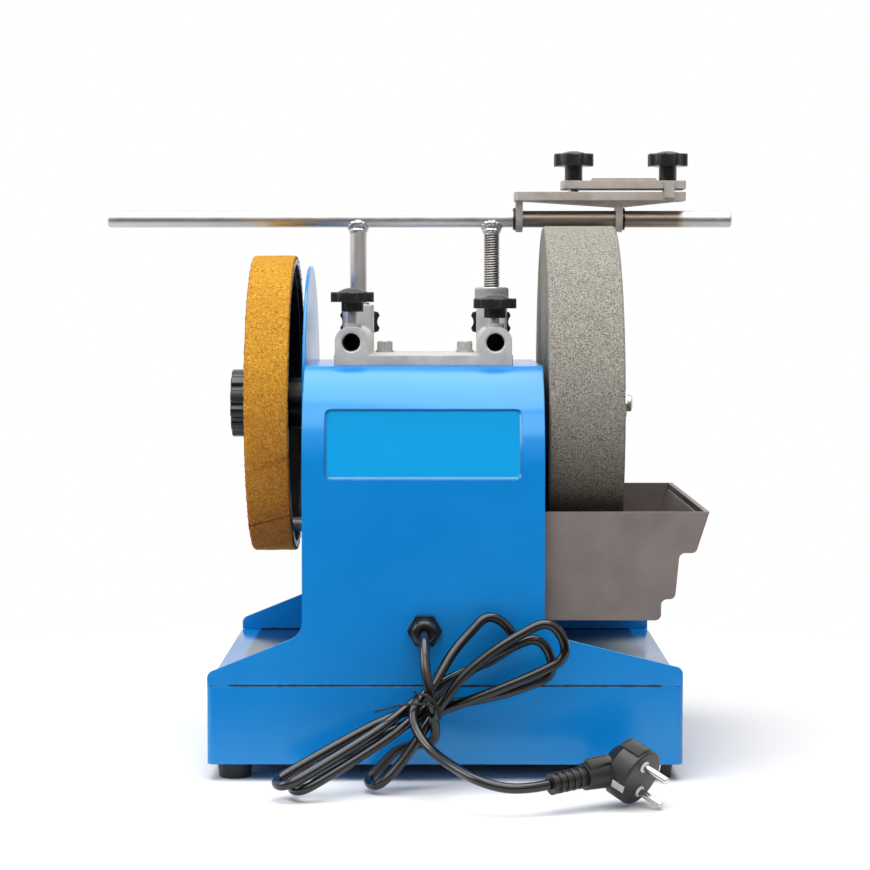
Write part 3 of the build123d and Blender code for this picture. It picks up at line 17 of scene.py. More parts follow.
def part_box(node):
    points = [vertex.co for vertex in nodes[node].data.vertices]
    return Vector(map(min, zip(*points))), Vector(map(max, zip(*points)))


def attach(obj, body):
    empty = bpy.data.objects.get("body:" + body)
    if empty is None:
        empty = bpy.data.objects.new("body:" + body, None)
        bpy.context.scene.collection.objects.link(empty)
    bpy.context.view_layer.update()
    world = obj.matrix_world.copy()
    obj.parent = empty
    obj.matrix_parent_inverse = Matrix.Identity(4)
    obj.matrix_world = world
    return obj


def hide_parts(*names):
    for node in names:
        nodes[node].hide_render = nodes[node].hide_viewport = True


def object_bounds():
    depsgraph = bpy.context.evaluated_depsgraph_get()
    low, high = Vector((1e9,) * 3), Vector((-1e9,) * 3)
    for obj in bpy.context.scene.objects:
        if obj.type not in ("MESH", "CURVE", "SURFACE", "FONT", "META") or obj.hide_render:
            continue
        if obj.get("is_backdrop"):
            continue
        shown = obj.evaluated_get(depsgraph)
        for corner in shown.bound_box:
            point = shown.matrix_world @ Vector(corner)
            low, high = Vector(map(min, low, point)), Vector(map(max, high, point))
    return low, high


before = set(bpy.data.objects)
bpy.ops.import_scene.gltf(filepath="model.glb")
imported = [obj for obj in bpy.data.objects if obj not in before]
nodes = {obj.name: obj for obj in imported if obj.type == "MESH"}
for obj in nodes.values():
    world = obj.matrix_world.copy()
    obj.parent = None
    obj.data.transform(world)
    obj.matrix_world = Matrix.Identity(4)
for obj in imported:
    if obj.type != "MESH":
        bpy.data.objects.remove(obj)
cad_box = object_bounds()
scene = bpy.context.scene
MM = 0.001

# %% [markdown]
# ## Camera
# The photograph was taken from the cord side with a long lens, a little above the support bar. The lens
# follows from the frame's width in pixels, and the camera is tipped down a few degrees to bring the
# machine into the middle.

# %% Camera
FRAME_PX = 870
FOCAL_PX = 2397
VANISHING_PX = (445, 305)
SENSOR = 36.0
EYE = Vector((0.0, -1.700, 0.3124))

camera_data = bpy.data.cameras.new("camera")
camera_data.sensor_width = SENSOR
camera_data.lens = FOCAL_PX / FRAME_PX * SENSOR
camera = bpy.data.objects.new("camera", camera_data)
scene.collection.objects.link(camera)
look = Vector((
    (FRAME_PX / 2 - VANISHING_PX[0]) / FOCAL_PX,
    1.0,
    (VANISHING_PX[1] - FRAME_PX / 2) / FOCAL_PX,
))
camera.location = EYE
camera.rotation_euler = look.to_track_quat("-Z", "Y").to_euler()
scene.camera = camera
print("lens", round(camera_data.lens, 1))

# %% [markdown]
# ## Node helpers
# Materials, the world and Geometry Nodes are all built by the same two small functions: one empties a
# tree, the other adds a node with its inputs, each of which is a value or a socket to link from. The rest
# are short forms of the nodes that are needed most.

# %% Node helpers
def fresh_tree(owner):
    """The emptied node tree of a material or world."""
    owner.use_nodes = True
    owner.node_tree.nodes.clear()
    return owner.node_tree


def node(tree, kind, inputs=None, **settings):
    """Adds a node. Inputs are keyed by socket name or number; settings are the node's own properties."""
    made = tree.nodes.new(kind)
    for key, value in settings.items():
        setattr(made, key, value)
    for key, value in (inputs or {}).items():
        if isinstance(value, bpy.types.NodeSocket):
            tree.links.new(value, made.inputs[key])
        else:
            made.inputs[key].default_value = value
    return made


def math_node(tree, operation, *values):
    """The result of a sum with one, two or three values."""
    return node(tree, "ShaderNodeMath", dict(enumerate(values)), operation=operation).outputs[0]


def vector_math(tree, operation, *values):
    """The outputs of a sum with vectors: 0 is a vector, and Value is a number such as a length."""
    return node(tree, "ShaderNodeVectorMath", dict(enumerate(values)), operation=operation).outputs


def split(tree, vector):
    """The outputs X, Y and Z of a vector."""
    return node(tree, "ShaderNodeSeparateXYZ", {0: vector}).outputs


def ramp(tree, value, low, high, to_low=0.0, to_high=1.0, smooth=False):
    """Maps a value from low..high to to_low..to_high, clamped."""
    inputs = {"Value": value, "From Min": low, "From Max": high, "To Min": to_low, "To Max": to_high}
    kind = "SMOOTHSTEP" if smooth else "LINEAR"
    return node(tree, "ShaderNodeMapRange", inputs, interpolation_type=kind).outputs[0]


def blend_colours(tree, factor, first, second, how="MIX"):
    """Blends two colours. In a Mix node, inputs 6 and 7 and output 2 are the ones for colours."""
    inputs = {0: factor, 6: first, 7: second}
    return node(tree, "ShaderNodeMix", inputs, data_type="RGBA", blend_type=how).outputs[2]


def screen_colour(*rgb):
    """A linear colour from screen values of 0 to 255."""
    return tuple(c / 255 / 12.92 if c <= 10 else ((c / 255 + 0.055) / 1.055) ** 2.4 for c in rgb) + (1.0,)


print("half of white on a screen is", round(screen_colour(128)[0], 3), "of its light")

# %% [markdown]
# ## Surroundings
# Glossy paint shows what is round it, so the room matters as much as the lamps. Mirrored rays find white
# paper behind the machine and above it, and a dim room on the camera's side, so that the enamel in front
# keeps its colour. Everything else gets a weak even glow, and the camera itself sees plain white.

# %% Surroundings
WHITE = (1.0, 1.0, 1.0, 1.0)
DIM_ROOM = (0.06, 0.06, 0.063, 1.0)
GLOW, GLOW_STRENGTH = (0.97, 0.98, 1.0, 1.0), 0.32
LIT_BEHIND = (-0.5, 0.2)
LIT_ABOVE = (0.08, 0.45)
scene.view_settings.view_transform = "Standard"


def seen_or_mirrored(tree):
    """Masks of the rays that come straight from the camera, and of those and the mirrored ones together."""
    path = node(tree, "ShaderNodeLightPath").outputs
    mirrored = math_node(tree, "MAXIMUM", path["Is Glossy Ray"], path["Is Transmission Ray"])
    return path["Is Camera Ray"], math_node(tree, "MAXIMUM", path["Is Camera Ray"], mirrored)


def paper_colour(tree, straight, lit):
    """White for what the camera sees and where the paper is lit, and dim in the rest of the room."""
    return blend_colours(tree, math_node(tree, "MAXIMUM", straight, lit), DIM_ROOM, WHITE)


def end_mixed(tree, output, mask, first, second):
    """Ends a tree with two shaders that a mask chooses between."""
    mixed = node(tree, "ShaderNodeMixShader", {0: mask, 1: first.outputs[0], 2: second.outputs[0]})
    node(tree, output, {"Surface": mixed.outputs[0]})


scene.world = bpy.data.worlds.new("studio")
tree = fresh_tree(scene.world)
straight, seen = seen_or_mirrored(tree)
way = split(tree, node(tree, "ShaderNodeTexCoord").outputs["Generated"])
lit = math_node(tree, "MAXIMUM", ramp(tree, way["Y"], *LIT_BEHIND), ramp(tree, way["Z"], *LIT_ABOVE))
glow = node(tree, "ShaderNodeBackground", {"Color": GLOW, "Strength": GLOW_STRENGTH})
room = node(tree, "ShaderNodeBackground", {"Color": paper_colour(tree, straight, lit), "Strength": 1.0})
end_mixed(tree, "ShaderNodeOutputWorld", seen, glow, room)
print("glow", GLOW_STRENGTH)

# %% [markdown]
# ## Softboxes
# The machine stands under one large overhead softbox, with weaker ones in front and at the left. Tops are
# then the brightest faces, and the bend of the blue panel mirrors the lamp above it.

# %% Softboxes
def softbox(name, place, target, size, power):
    """A rectangular lamp that faces a target. Its size is in metres and its power in watts."""
    data = bpy.data.lights.new(name, "AREA")
    data.shape = "RECTANGLE"
    data.size, data.size_y = size
    data.energy = power
    lamp = bpy.data.objects.new(name, data)
    lamp.location = place
    lamp.rotation_euler = (Vector(target) - Vector(place)).to_track_quat("-Z", "Y").to_euler()
    scene.collection.objects.link(lamp)
    print(name, power, "W")


softbox("ceiling_softbox", (0.0, -0.22, 2.0), target=(0, -0.1, 0.2), size=(2.0, 1.55), power=42)
softbox("front_softbox", (-0.1, -1.7, 2.0), target=(0, 0, 0.2), size=(2.4, 1.0), power=22)
softbox("left_softbox", (-2.0, -0.4, 1.3), target=(0, 0, 0.2), size=(1.2, 1.2), power=19)

# %% [markdown]
# ## Floor
# The table is a pale sheet that takes the machine's shadow. Further out it fades into the white of the
# paper, so that the picture has no horizon.

# %% Floor
FLOOR_HALF, FLOOR_DROP = 6.0, 0.4 * MM
FADE_TO_PAPER = (0.22, 0.70)
FLOOR_LIT = (-0.45, -0.15)
TABLE_WHITE = (0.88, 0.875, 0.875, 1.0)

floor_mesh = bpy.data.meshes.new("floor")
shape = bmesh.new()
bmesh.ops.create_grid(shape, x_segments=1, y_segments=1, size=FLOOR_HALF)
shape.to_mesh(floor_mesh)
shape.free()
floor = bpy.data.objects.new("floor", floor_mesh)
floor.location.z = -FLOOR_DROP
scene.collection.objects.link(floor)
floor_finish = bpy.data.materials.new("pale_floor")
floor_mesh.materials.append(floor_finish)
tree = fresh_tree(floor_finish)
straight, seen = seen_or_mirrored(tree)
place = node(tree, "ShaderNodeTexCoord").outputs["Object"]
lit = ramp(tree, split(tree, place)["Y"], *FLOOR_LIT)
far = ramp(tree, vector_math(tree, "LENGTH", place)["Value"], *FADE_TO_PAPER, smooth=True)
table = node(tree, "ShaderNodeBsdfDiffuse", {"Color": TABLE_WHITE})
paper = node(tree, "ShaderNodeEmission", {"Color": paper_colour(tree, straight, lit), "Strength": 1.0})
end_mixed(tree, "ShaderNodeOutputMaterial", math_node(tree, "MULTIPLY", seen, far), table, paper)
floor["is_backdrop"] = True
print("floor fades between", *FADE_TO_PAPER, "m")

# %% [markdown]
# ## Hank
# The cord is folded back and forth three times, below and above its waist, as one does by hand before
# tying it. Each loop is wider at its fold than at the waist and lies one cord behind the one before, so
# the corners are worked out by a loop from a reach, an angle and a width. The last one crosses over
# itself and comes out in front.

# %% Hank
CORD = 6.5
PITCH = CORD + 1.7
WAIST = Vector((-12.0, -160.0, 54.0))
LOWER_END = Vector((-105.0, -205.0, 6.0))
LOWER_REACH, LOWER_DROOP, LOWER_HALF = (58.0, 104.0, 112.0), (0.35, 0.0, 0.0), 10.0
UPPER_REACH, UPPER_ANGLE, UPPER_HALF = (98.0, 86.0, 72.0), (27.0, 22.0, 44.0), 14.0
UPPER_LEAN = 0.1
TURN_ROOM = 6 * CORD
SHARES = (0.14, 0.36, 0.62, 0.86)
# How the last loop crosses over, rises past the waist and narrows on its way back.
CROSSING, RISING, RISE_PAST, NARROWING = 1.6, 0.7, 0.3, 0.14
LOOPS = len(LOWER_REACH)
lower_way = (LOWER_END - WAIST).normalized()
lower_side = Vector((-lower_way.y, lower_way.x, 0)).normalized()
lower_up = lower_way.cross(lower_side)


def hank_point(loop, distance, side, half, layer):
    """A corner of the hank. The distance from the waist is positive above it and negative below."""
    angle = math.radians(UPPER_ANGLE[loop])
    upper = Vector((math.cos(angle), UPPER_LEAN, math.sin(angle)))
    across = Vector((-math.sin(angle), 0, math.cos(angle)))
    lower = (lower_way - Vector((0, 0, LOWER_DROOP[loop]))).normalized()
    along = upper * distance if distance > 0 else lower * -distance
    turned = min(max((TURN_ROOM - distance) / (2 * TURN_ROOM), 0), 1)
    lateral = (across * (1 - turned) + lower_side * turned).normalized()
    stacked = (Vector((0, -1, 0)) * (1 - turned) - lower_up * turned).normalized()
    return WAIST + along + lateral * (side * half) + stacked * ((LOOPS / 2 - layer) * PITCH)


def half_at(share, end):
    """Half the distance between a loop's two strands, which grows from the waist to the fold."""
    return PITCH / 2 + (end - PITCH / 2) * math.sin(share * math.pi / 2)


def strand(loop, reach, sign, side, end, climb=0.0):
    """One side of a loop, from the waist towards its fold."""
    room = reach - end
    return [hank_point(loop, sign * f * room, side, half_at(f, end), loop + climb * (1 - f)) for f in SHARES]


def fold(loop, reach, sign, side, end):
    """The two corners of a loop's fold."""
    return [hank_point(loop, sign * reach, s, end, loop) for s in (side, -side)]


def last_upper_loop(loop, reach, end):
    """The last loop crosses over itself, so that its end comes out in front of the waist."""
    room = reach - end
    points = []
    for f in SHARES:
        points.append(hank_point(loop, f * room, 1, PITCH / 2 - (PITCH / 2 + end) * f**CROSSING, loop))
    points += fold(loop, reach, 1, -1, end)
    for f in SHARES[:0:-1]:
        layer = loop - (loop + RISE_PAST) * (1 - f) ** RISING
        points.append(hank_point(loop, f * room, 1, end * (1 - NARROWING * (1 - f)), layer))
    return points


def hank_route():
    """The corners of all loops in the order of the cord, which comes in just before the first fold."""
    points = []
    for loop, low in enumerate(LOWER_REACH):
        out = strand(loop, low, -1, -1, LOWER_HALF)
        points += out if loop else out[-1:]
        points += fold(loop, low, -1, -1, LOWER_HALF)
        points += strand(loop, low, -1, 1, LOWER_HALF)[::-1]
        if loop < LOOPS - 1:
            high = UPPER_REACH[loop]
            points += strand(loop, high, 1, 1, UPPER_HALF)
            points += fold(loop, high, 1, 1, UPPER_HALF)
            points += strand(loop, high, 1, -1, UPPER_HALF, climb=1.0)[::-1]
    return points + last_upper_loop(LOOPS - 1, UPPER_REACH[-1], UPPER_HALF)


hank = hank_route()
print("hank", LOOPS, "loops", len(hank), "corners")

# %% [markdown]
# ## Mains cord
# The lead leaves the gland and passes the hank's waist, and the tail swings out to the plug. A cord is
# one length of one thing, so it is one spline from end to end: its control points are the corners of the
# CAD route, and a quadratic NURBS rounds them as a stiff jacket would.

# %% Mains cord
GLAND_MOUTH = Vector((-13.3, -156.5, 99.5))
PLUG_FACE = Vector((122.4, -222.0, 18.0))
PIN_WAY = Vector((0.716, -0.58, -0.39)).normalized()
CORD_WAY = Vector((0.87, 0.46, 0.10)).normalized()
ARM_DEPTH, ARM_LENGTH = 14.0, 54.0
ARM_START = PLUG_FACE - PIN_WAY * ARM_DEPTH
PLUG_ENTRY = ARM_START - CORD_WAY * ARM_LENGTH
LEAD_IN, TAIL_OUT, PLUG_RUN = 14.0, 10.0, 22.0


def corners(*places):
    """The corners of a route as vectors."""
    return [Vector(place) for place in places]


def rope(name, route, diameter, sides=5):
    """A round rope or wire along a route in millimetres, as one NURBS spline.
    The bevel is 1 m deep, so each point's radius is the rope's own."""
    curve = bpy.data.curves.new(name, "CURVE")
    curve.dimensions = "3D"
    curve.bevel_depth = 1.0
    curve.bevel_resolution = sides
    curve.use_fill_caps = True
    curve.resolution_u = 8
    spline = curve.splines.new("NURBS")
    spline.points.add(len(route) - 1)
    for point, place in zip(spline.points, route):
        point.co = (*(place * MM), 1.0)
        point.radius = diameter / 2 * MM
    spline.order_u = 3
    spline.use_endpoint_u = True
    spline.use_smooth = True
    piece = bpy.data.objects.new(name, curve)
    scene.collection.objects.link(piece)
    return piece


def rope_length(piece):
    """The length of a rope's middle line in metres, read with its thickness off."""
    bare = piece.data.copy()
    bare.bevel_depth = 0.0
    bare.use_fill_caps = False
    probe = bpy.data.objects.new("probe", bare)
    scene.collection.objects.link(probe)
    line = bpy.data.meshes.new_from_object(probe.evaluated_get(bpy.context.evaluated_depsgraph_get()))
    points = [v.co.copy() for v in line.vertices]
    bpy.data.objects.remove(probe)
    bpy.data.meshes.remove(line)
    bpy.data.curves.remove(bare)
    return round(sum((b - a).length for a, b in zip(points, points[1:])), 3)


hank_in = (hank[1] - hank[0]).normalized()
hank_out = (hank[-1] - hank[-2]).normalized()
lead = [GLAND_MOUTH + step for step in corners((0, 8, 0), (0, -7, 0), (0, -18, -7))]
lead += corners((-12.5, -182.5, 80), (-9.5, -187, 65), (-7, -184, 50), (-5.5, -171, 32), (-18, -160, 28))
lead += [hank[0] - hank_in * LEAD_IN]
tail = [hank[-1] + hank_out * TAIL_OUT]
tail += corners((-17, -180.5, 60.5), (-21, -184.5, 51), (-17.5, -191, 41), (-9, -203, 32))
tail += corners((5, -226, 26), (22, -245, 20))
tail += [PLUG_ENTRY - CORD_WAY * PLUG_RUN, PLUG_ENTRY]

mains_cord = rope("mains_cord", lead + hank + tail, CORD)
cord_length = rope_length(mains_cord)
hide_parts("cord_lead", "cord_hank", "cord_tail")
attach(mains_cord, "machine")
print("cord", len(lead + hank + tail), "corners", cord_length, "m")

# %% [markdown]
# ## Wire tie
# A piece of soft black wire goes round the waist of the hank, the lead and the tail, crosses over itself
# in front, and its two ends are left sticking out. It is bent by hand, so its route is a short list of
# points too: across the front, round the back, over the top and down into a hook.

# %% Wire tie
TIE_WIRE = 1.5
tie = corners((-45, -178, 52.5), (-38, -182, 55), (-30, -187, 58), (-22, -190.5, 59.5), (-14, -192.5, 60))
tie += corners((-6.5, -191.5, 58.5), (-3, -187, 56), (-2, -181, 51.5), (-4, -173, 47), (-6, -165, 45))
tie += corners((-8, -156, 46.5), (-11, -151, 50), (-15, -151, 56), (-19, -155, 61.5), (-20.5, -163, 63))
tie += corners((-20, -174, 64), (-19, -184, 65), (-16, -191, 66), (-11.5, -193.3, 65.5), (-7, -192.5, 62.5))
tie += corners((-4, -190.5, 56), (-2.5, -190, 51), (-4, -189.5, 48.5), (-8.5, -189.5, 48))
wire_tie = rope("wire_tie", tie, TIE_WIRE, sides=3)
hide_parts("cord_tie")
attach(wire_tie, "machine")
print("tie", rope_length(wire_tie), "m")

# %% [markdown]
# ## Shared surface effects
# A few effects return on many pieces: the ripple of sprayed enamel, the drawn lines of ground steel, the
# fine grain of moulded plastic and the cloudy marks of handling. Each is a node group that puts out a
# mask or a height, so that one change here reaches every finish that uses it.

# %% Shared surface effects
# A noise goes from 0 to 1, but most of it lies in this range.
CLOUD = (0.3, 0.7)
MARKED = (0.42, 0.72)
LINES_ACROSS, LINES_ALONG = 2600.0, 40.0


def effect_group(name, inputs, outputs):
    """A shader node group with named numbers going in and out."""
    group = bpy.data.node_groups.new(name, "ShaderNodeTree")
    for title, value in inputs.items():
        socket = group.interface.new_socket(title, in_out="INPUT", socket_type="NodeSocketFloat")
        socket.default_value = value
    for title in outputs:
        group.interface.new_socket(title, in_out="OUTPUT", socket_type="NodeSocketFloat")
    return group, group.nodes.new("NodeGroupInput").outputs, group.nodes.new("NodeGroupOutput").inputs


def object_place(tree, scale=(1.0, 1.0, 1.0)):
    """The place on the object in metres, stretched by a scale for each axis."""
    place = node(tree, "ShaderNodeTexCoord").outputs["Object"]
    return node(tree, "ShaderNodeMapping", {"Vector": place, "Scale": scale}).outputs[0]


def noise_at(tree, place, scale, detail=2.0, roughness=0.5, distortion=0.0):
    """A noise from 0 to 1. Distortion draws its blots out into curls."""
    inputs = {"Vector": place, "Scale": scale, "Detail": detail}
    inputs.update({"Roughness": roughness, "Distortion": distortion})
    return node(tree, "ShaderNodeTexNoise", inputs).outputs[0]


def two_scale_effect(name, fine_scale, fine_detail, cloud_scale):
    """A fine height for relief and a broad cloud for colour and roughness."""
    group, given, result = effect_group(name, {"Scale": fine_scale}, ["Height", "Cloud"])
    place = object_place(group)
    group.links.new(noise_at(group, place, given["Scale"], fine_detail), result["Height"])
    group.links.new(noise_at(group, place, cloud_scale, detail=4.0, roughness=0.6), result["Cloud"])
    return group


def drawn_lines(axis):
    """Fine lines along one axis, as grinding or drawing leaves them."""
    group, given, result = effect_group("drawn_lines_" + "xyz"[axis], {"Scale": 1.0}, ["Height", "Cloud"])
    scale = [LINES_ACROSS, LINES_ACROSS, LINES_ACROSS]
    scale[axis] = LINES_ALONG
    lines = noise_at(group, object_place(group, scale), given["Scale"], detail=3.0, roughness=0.6)
    cloud = noise_at(group, object_place(group), scale=30.0, detail=4.0, roughness=0.6)
    group.links.new(lines, result["Height"])
    group.links.new(cloud, result["Cloud"])
    return group


enamel_ripple = two_scale_effect("enamel_ripple", fine_scale=240.0, fine_detail=1.0, cloud_scale=7.0)
moulded_grain = two_scale_effect("moulded_grain", fine_scale=1400.0, fine_detail=2.0, cloud_scale=45.0)
cast_skin = two_scale_effect("cast_skin", fine_scale=620.0, fine_detail=5.0, cloud_scale=90.0)
drawn_x, drawn_y, drawn_z = (drawn_lines(axis) for axis in range(3))

sheet_waves, given, result = effect_group("sheet_waves", {"Scale": 6.0}, ["Height"])
swell = noise_at(sheet_waves, object_place(sheet_waves), given["Scale"], detail=0.0)
sheet_waves.links.new(swell, result["Height"])

handling_marks, given, result = effect_group("handling_marks", {"Scale": 60.0, "Contrast": 0.5}, ["Mask"])
patch = noise_at(handling_marks, object_place(handling_marks), given["Scale"], detail=6.0, roughness=0.7)
handling_marks.links.new(ramp(handling_marks, patch, *MARKED, 0.0, given["Contrast"]), result["Mask"])
print("effects", len(bpy.data.node_groups))

# %% [markdown]
# ## How a finish is made
# Every finish is a Principled shader whose colour, roughness and relief vary over the surface. Two
# colours and a mask give the variation. The relief is kept a fraction of a millimetre, at the scale that
# the real finish has. The first one is the blue enamel. It is sprayed on sheet metal that is never quite
# flat, so a slow swell of the sheet bends what the paint mirrors.

# %% How a finish is made
BLUE = (screen_colour(0, 119, 197), screen_colour(0, 128, 205))
ENAMEL = {"Specular IOR Level": 0.66, "Specular Tint": (0.62, 1.0, 0.88, 1.0)}
finishes = {}


def new_finish(name):
    """The empty tree of a new material."""
    finishes[name] = bpy.data.materials.new(name)
    return fresh_tree(finishes[name])


def relief(tree, height, strength, depth, **over):
    """The normal that a height gives, with its depth in millimetres, over another normal if one is given."""
    inputs = {"Height": height, "Strength": strength, "Distance": depth * MM, **over}
    return node(tree, "ShaderNodeBump", inputs).outputs[0]


def end_finish(tree, colour, roughness, normal, **settings):
    """Ends a material with its shader. Settings are other inputs, with low lines for the spaces."""
    inputs = {"Base Color": colour, "Roughness": roughness, "Normal": normal}
    inputs.update({key.replace("_", " "): value for key, value in settings.items()})
    shader = node(tree, "ShaderNodeBsdfPrincipled", inputs)
    node(tree, "ShaderNodeOutputMaterial", {"Surface": shader.outputs[0]})
    return shader


def finish(name, effect, colours, rough, bumps, marks=0.0, edge=0.4, waves=0.0, **settings):
    """A material from one effect: two colours and two roughnesses mixed by its cloud, and bumps of a
    strength and depth from its height. The edge is the radius in millimetres that a moulded, cast or
    tumbled edge has, and waves is the depth of the swell in a sheet."""
    tree = new_finish(name)
    made = node(tree, "ShaderNodeGroup", node_tree=effect).outputs
    colour = blend_colours(tree, ramp(tree, made["Cloud"], *CLOUD), *colours)
    roughness = ramp(tree, made["Cloud"], *CLOUD, *rough)
    if marks:
        worn = node(tree, "ShaderNodeGroup", node_tree=handling_marks)
        worn.inputs["Contrast"].default_value = marks
        roughness = math_node(tree, "ADD", roughness, worn.outputs[0])
    normal = node(tree, "ShaderNodeBevel", {"Radius": edge * MM}, samples=4).outputs[0]
    if waves:
        swell = node(tree, "ShaderNodeGroup", node_tree=sheet_waves).outputs[0]
        normal = relief(tree, swell, 1.0, waves, Normal=normal)
    normal = relief(tree, made["Height"], *bumps, Normal=normal)
    return tree, end_finish(tree, colour, roughness, normal, **settings)


def enamel(name):
    """The blue paint of the machine's sheet metal."""
    return finish(name, enamel_ripple, BLUE, (0.15, 0.23), (0.10, 0.10), edge=0.9, waves=10.0, **ENAMEL)


enamel("blue_enamel")
print("first finish", *finishes)

# %% [markdown]
# ## Paint, rubber and plastic
# Moulded parts copy the skin of their mould: feet and cord are dull or glossy rubber, knobs and plug are
# hard plastic with rounded edges. They differ in grey, in gloss and in how strongly the grain shows.

# %% Paint, rubber and plastic
TROUGH_GREYS = (screen_colour(111, 102, 98), screen_colour(125, 115, 111))
SWITCH_REDS = (screen_colour(150, 24, 20), screen_colour(170, 30, 26))


def grey_pair(low, high, warmth=0):
    """Two greys with more red and less blue by a warmth."""
    return tuple(screen_colour(grey + warmth, grey, grey - warmth) for grey in (low, high))


finish("black_enamel", enamel_ripple, grey_pair(18, 28), (0.35, 0.5), (0.15, 0.1))
finish("black_rubber", moulded_grain, grey_pair(20, 34), (0.55, 0.75), (0.3, 0.05))
finish("cord_jacket", moulded_grain, grey_pair(6, 11, 1), (0.13, 0.22), (0.12, 0.03), Specular_IOR_Level=0.6)
finish("black_plastic", moulded_grain, grey_pair(10, 18), (0.2, 0.34), (0.25, 0.05))
finish("knob_plastic", moulded_grain, grey_pair(24, 38, 1), (0.2, 0.32), (0.2, 0.05), edge=1.3)
finish("tie_wire", moulded_grain, grey_pair(5, 10), (0.5, 0.65), (0.12, 0.03))
finish("plug_plastic", moulded_grain, grey_pair(14, 24, 2), (0.34, 0.5), (0.4, 0.06), edge=0.8)
finish("white_plastic", moulded_grain, grey_pair(214, 228, 2), (0.4, 0.5), (0.15, 0.04))
finish("trough_plastic", moulded_grain, TROUGH_GREYS, (0.40, 0.54), (0.25, 0.05), edge=0.8,
       Specular_IOR_Level=0.4)
finish("switch_red", moulded_grain, SWITCH_REDS, (0.25, 0.35), (0.15, 0.04))
mains_cord.data.materials.append(finishes["cord_jacket"])
wire_tie.data.materials.append(finishes["tie_wire"])
print("finishes", len(finishes))

# %% [markdown]
# ## Metals
# Ground and drawn steel keeps fine lines along the way it was worked, so each rod has the lines of its
# own axis. Castings are painted over a coarse skin and are only a little metallic, and plated screws are
# smooth.

# %% Metals
BRONZES = (screen_colour(170, 130, 80), screen_colour(190, 148, 96))
CASTING = {"rough": (0.36, 0.52), "bumps": (0.5, 0.12), "marks": 0.1, "Metallic": 0.2}


def drawn_steel(name, lines):
    """Bare steel with lines along one axis."""
    return finish(name, lines, grey_pair(188, 212, 4), (0.38, 0.50), (0.12, 0.03), Metallic=1.0)


drawn_steel("steel_x", drawn_x)
drawn_steel("steel_z", drawn_z)
finish("grey_casting", cast_skin, grey_pair(172, 196, 3), edge=0.8, **CASTING)
finish("jig_casting", cast_skin, grey_pair(152, 174, 8), edge=0.7, **CASTING)
finish("turned_steel", drawn_x, grey_pair(176, 196, 2), (0.34, 0.46), (0.15, 0.03), marks=0.1, Metallic=0.6)
finish("plated_steel", enamel_ripple, grey_pair(196, 216, 3), (0.24, 0.36), (0.1, 0.03), marks=0.12,
       Metallic=1.0)
finish("bronze", moulded_grain, BRONZES, (0.35, 0.5), (0.3, 0.04), Metallic=1.0)
finish("iron_core", drawn_y, grey_pair(80, 110), (0.4, 0.55), (0.3, 0.05), Metallic=1.0)
finish("nickel", enamel_ripple, grey_pair(208, 226, 6), (0.12, 0.22), (0.08, 0.02), Metallic=1.0)
print("finishes", len(finishes))

# %% [markdown]
# ## Bar under the jig
# The jig slides on one stretch of the support bar, shades it and is mirrored in it there. Painted shade
# and a painted reflection stand in for this: the finish is darker and a little brown between two places
# along the bar.

# %% Bar under the jig
JIG_SHADE_FROM, JIG_SHADE_TO, JIG_SHADE_FADE = 54.0, 170.0, 3.0
JIG_SHADE_BROWN = screen_colour(152, 138, 126)


def linked(shader, title):
    """The socket that an input of a shader is linked from."""
    return shader.inputs[title].links[0].from_socket


def tint(tree, shader, mask, colour):
    """Blends the colour of a finish towards another where a mask says so."""
    clean = linked(shader, "Base Color")
    tree.links.new(blend_colours(tree, mask, clean, colour), shader.inputs["Base Color"])


tree, shader = drawn_steel("bar_steel", drawn_x)
along = split(tree, object_place(tree))["X"]
begun = ramp(tree, along, (JIG_SHADE_FROM - JIG_SHADE_FADE) * MM, (JIG_SHADE_FROM + JIG_SHADE_FADE) * MM)
ended = ramp(tree, along, (JIG_SHADE_TO - JIG_SHADE_FADE) * MM, (JIG_SHADE_TO + JIG_SHADE_FADE) * MM, 1.0, 0.0)
# Painted shade and painted reflection of the jig: darker and a little brown.
tint(tree, shader, math_node(tree, "MULTIPLY", begun, ended), JIG_SHADE_BROWN)
print("bar in painted shade from", JIG_SHADE_FROM, "to", JIG_SHADE_TO, "mm")

# %% [markdown]
# ## Seam
# The seam where the housing stands on the base pan gets painted shade, the same dark line on both: a mask
# by height with a ragged edge, which stops short of the corners.

# %% Seam
SEAM_HEIGHT, SEAM_WIDTH = 63.0 * MM, 1.5 * MM
SEAM_HALF_LENGTH, SEAM_FADE = 143.0 * MM, 2.0 * MM
SEAM_RAGGED = (1.5, 2.6)
# The colour of the painted shade in the seam.
SEAM_SHADE = screen_colour(0, 34, 84)

seam_inputs = {"Height": SEAM_HEIGHT, "Width": SEAM_WIDTH}
seam_shade, given, result = effect_group("seam_shade", seam_inputs, ["Mask"])
maths = partial(math_node, seam_shade)
place = split(seam_shade, object_place(seam_shade))
uneven = noise_at(seam_shade, object_place(seam_shade), scale=160.0, detail=3.0)
off = maths("ABSOLUTE", maths("SUBTRACT", place["Z"], given["Height"]))
off = maths("MULTIPLY", off, ramp(seam_shade, uneven, *CLOUD, *SEAM_RAGGED))
line = maths("LESS_THAN", off, given["Width"])
along = maths("ABSOLUTE", place["X"])
ends = ramp(seam_shade, along, SEAM_HALF_LENGTH - SEAM_FADE, SEAM_HALF_LENGTH, 1.0, 0.0)
seam_shade.links.new(maths("MULTIPLY", line, ends), result["Mask"])


def shade_seam(tree, shader):
    """Paints shade into a finish along the seam."""
    tint(tree, shader, node(tree, "ShaderNodeGroup", node_tree=seam_shade).outputs[0], SEAM_SHADE)


shade_seam(*enamel("blue_pan"))
print("seam at", round(SEAM_HEIGHT, 3), "m")
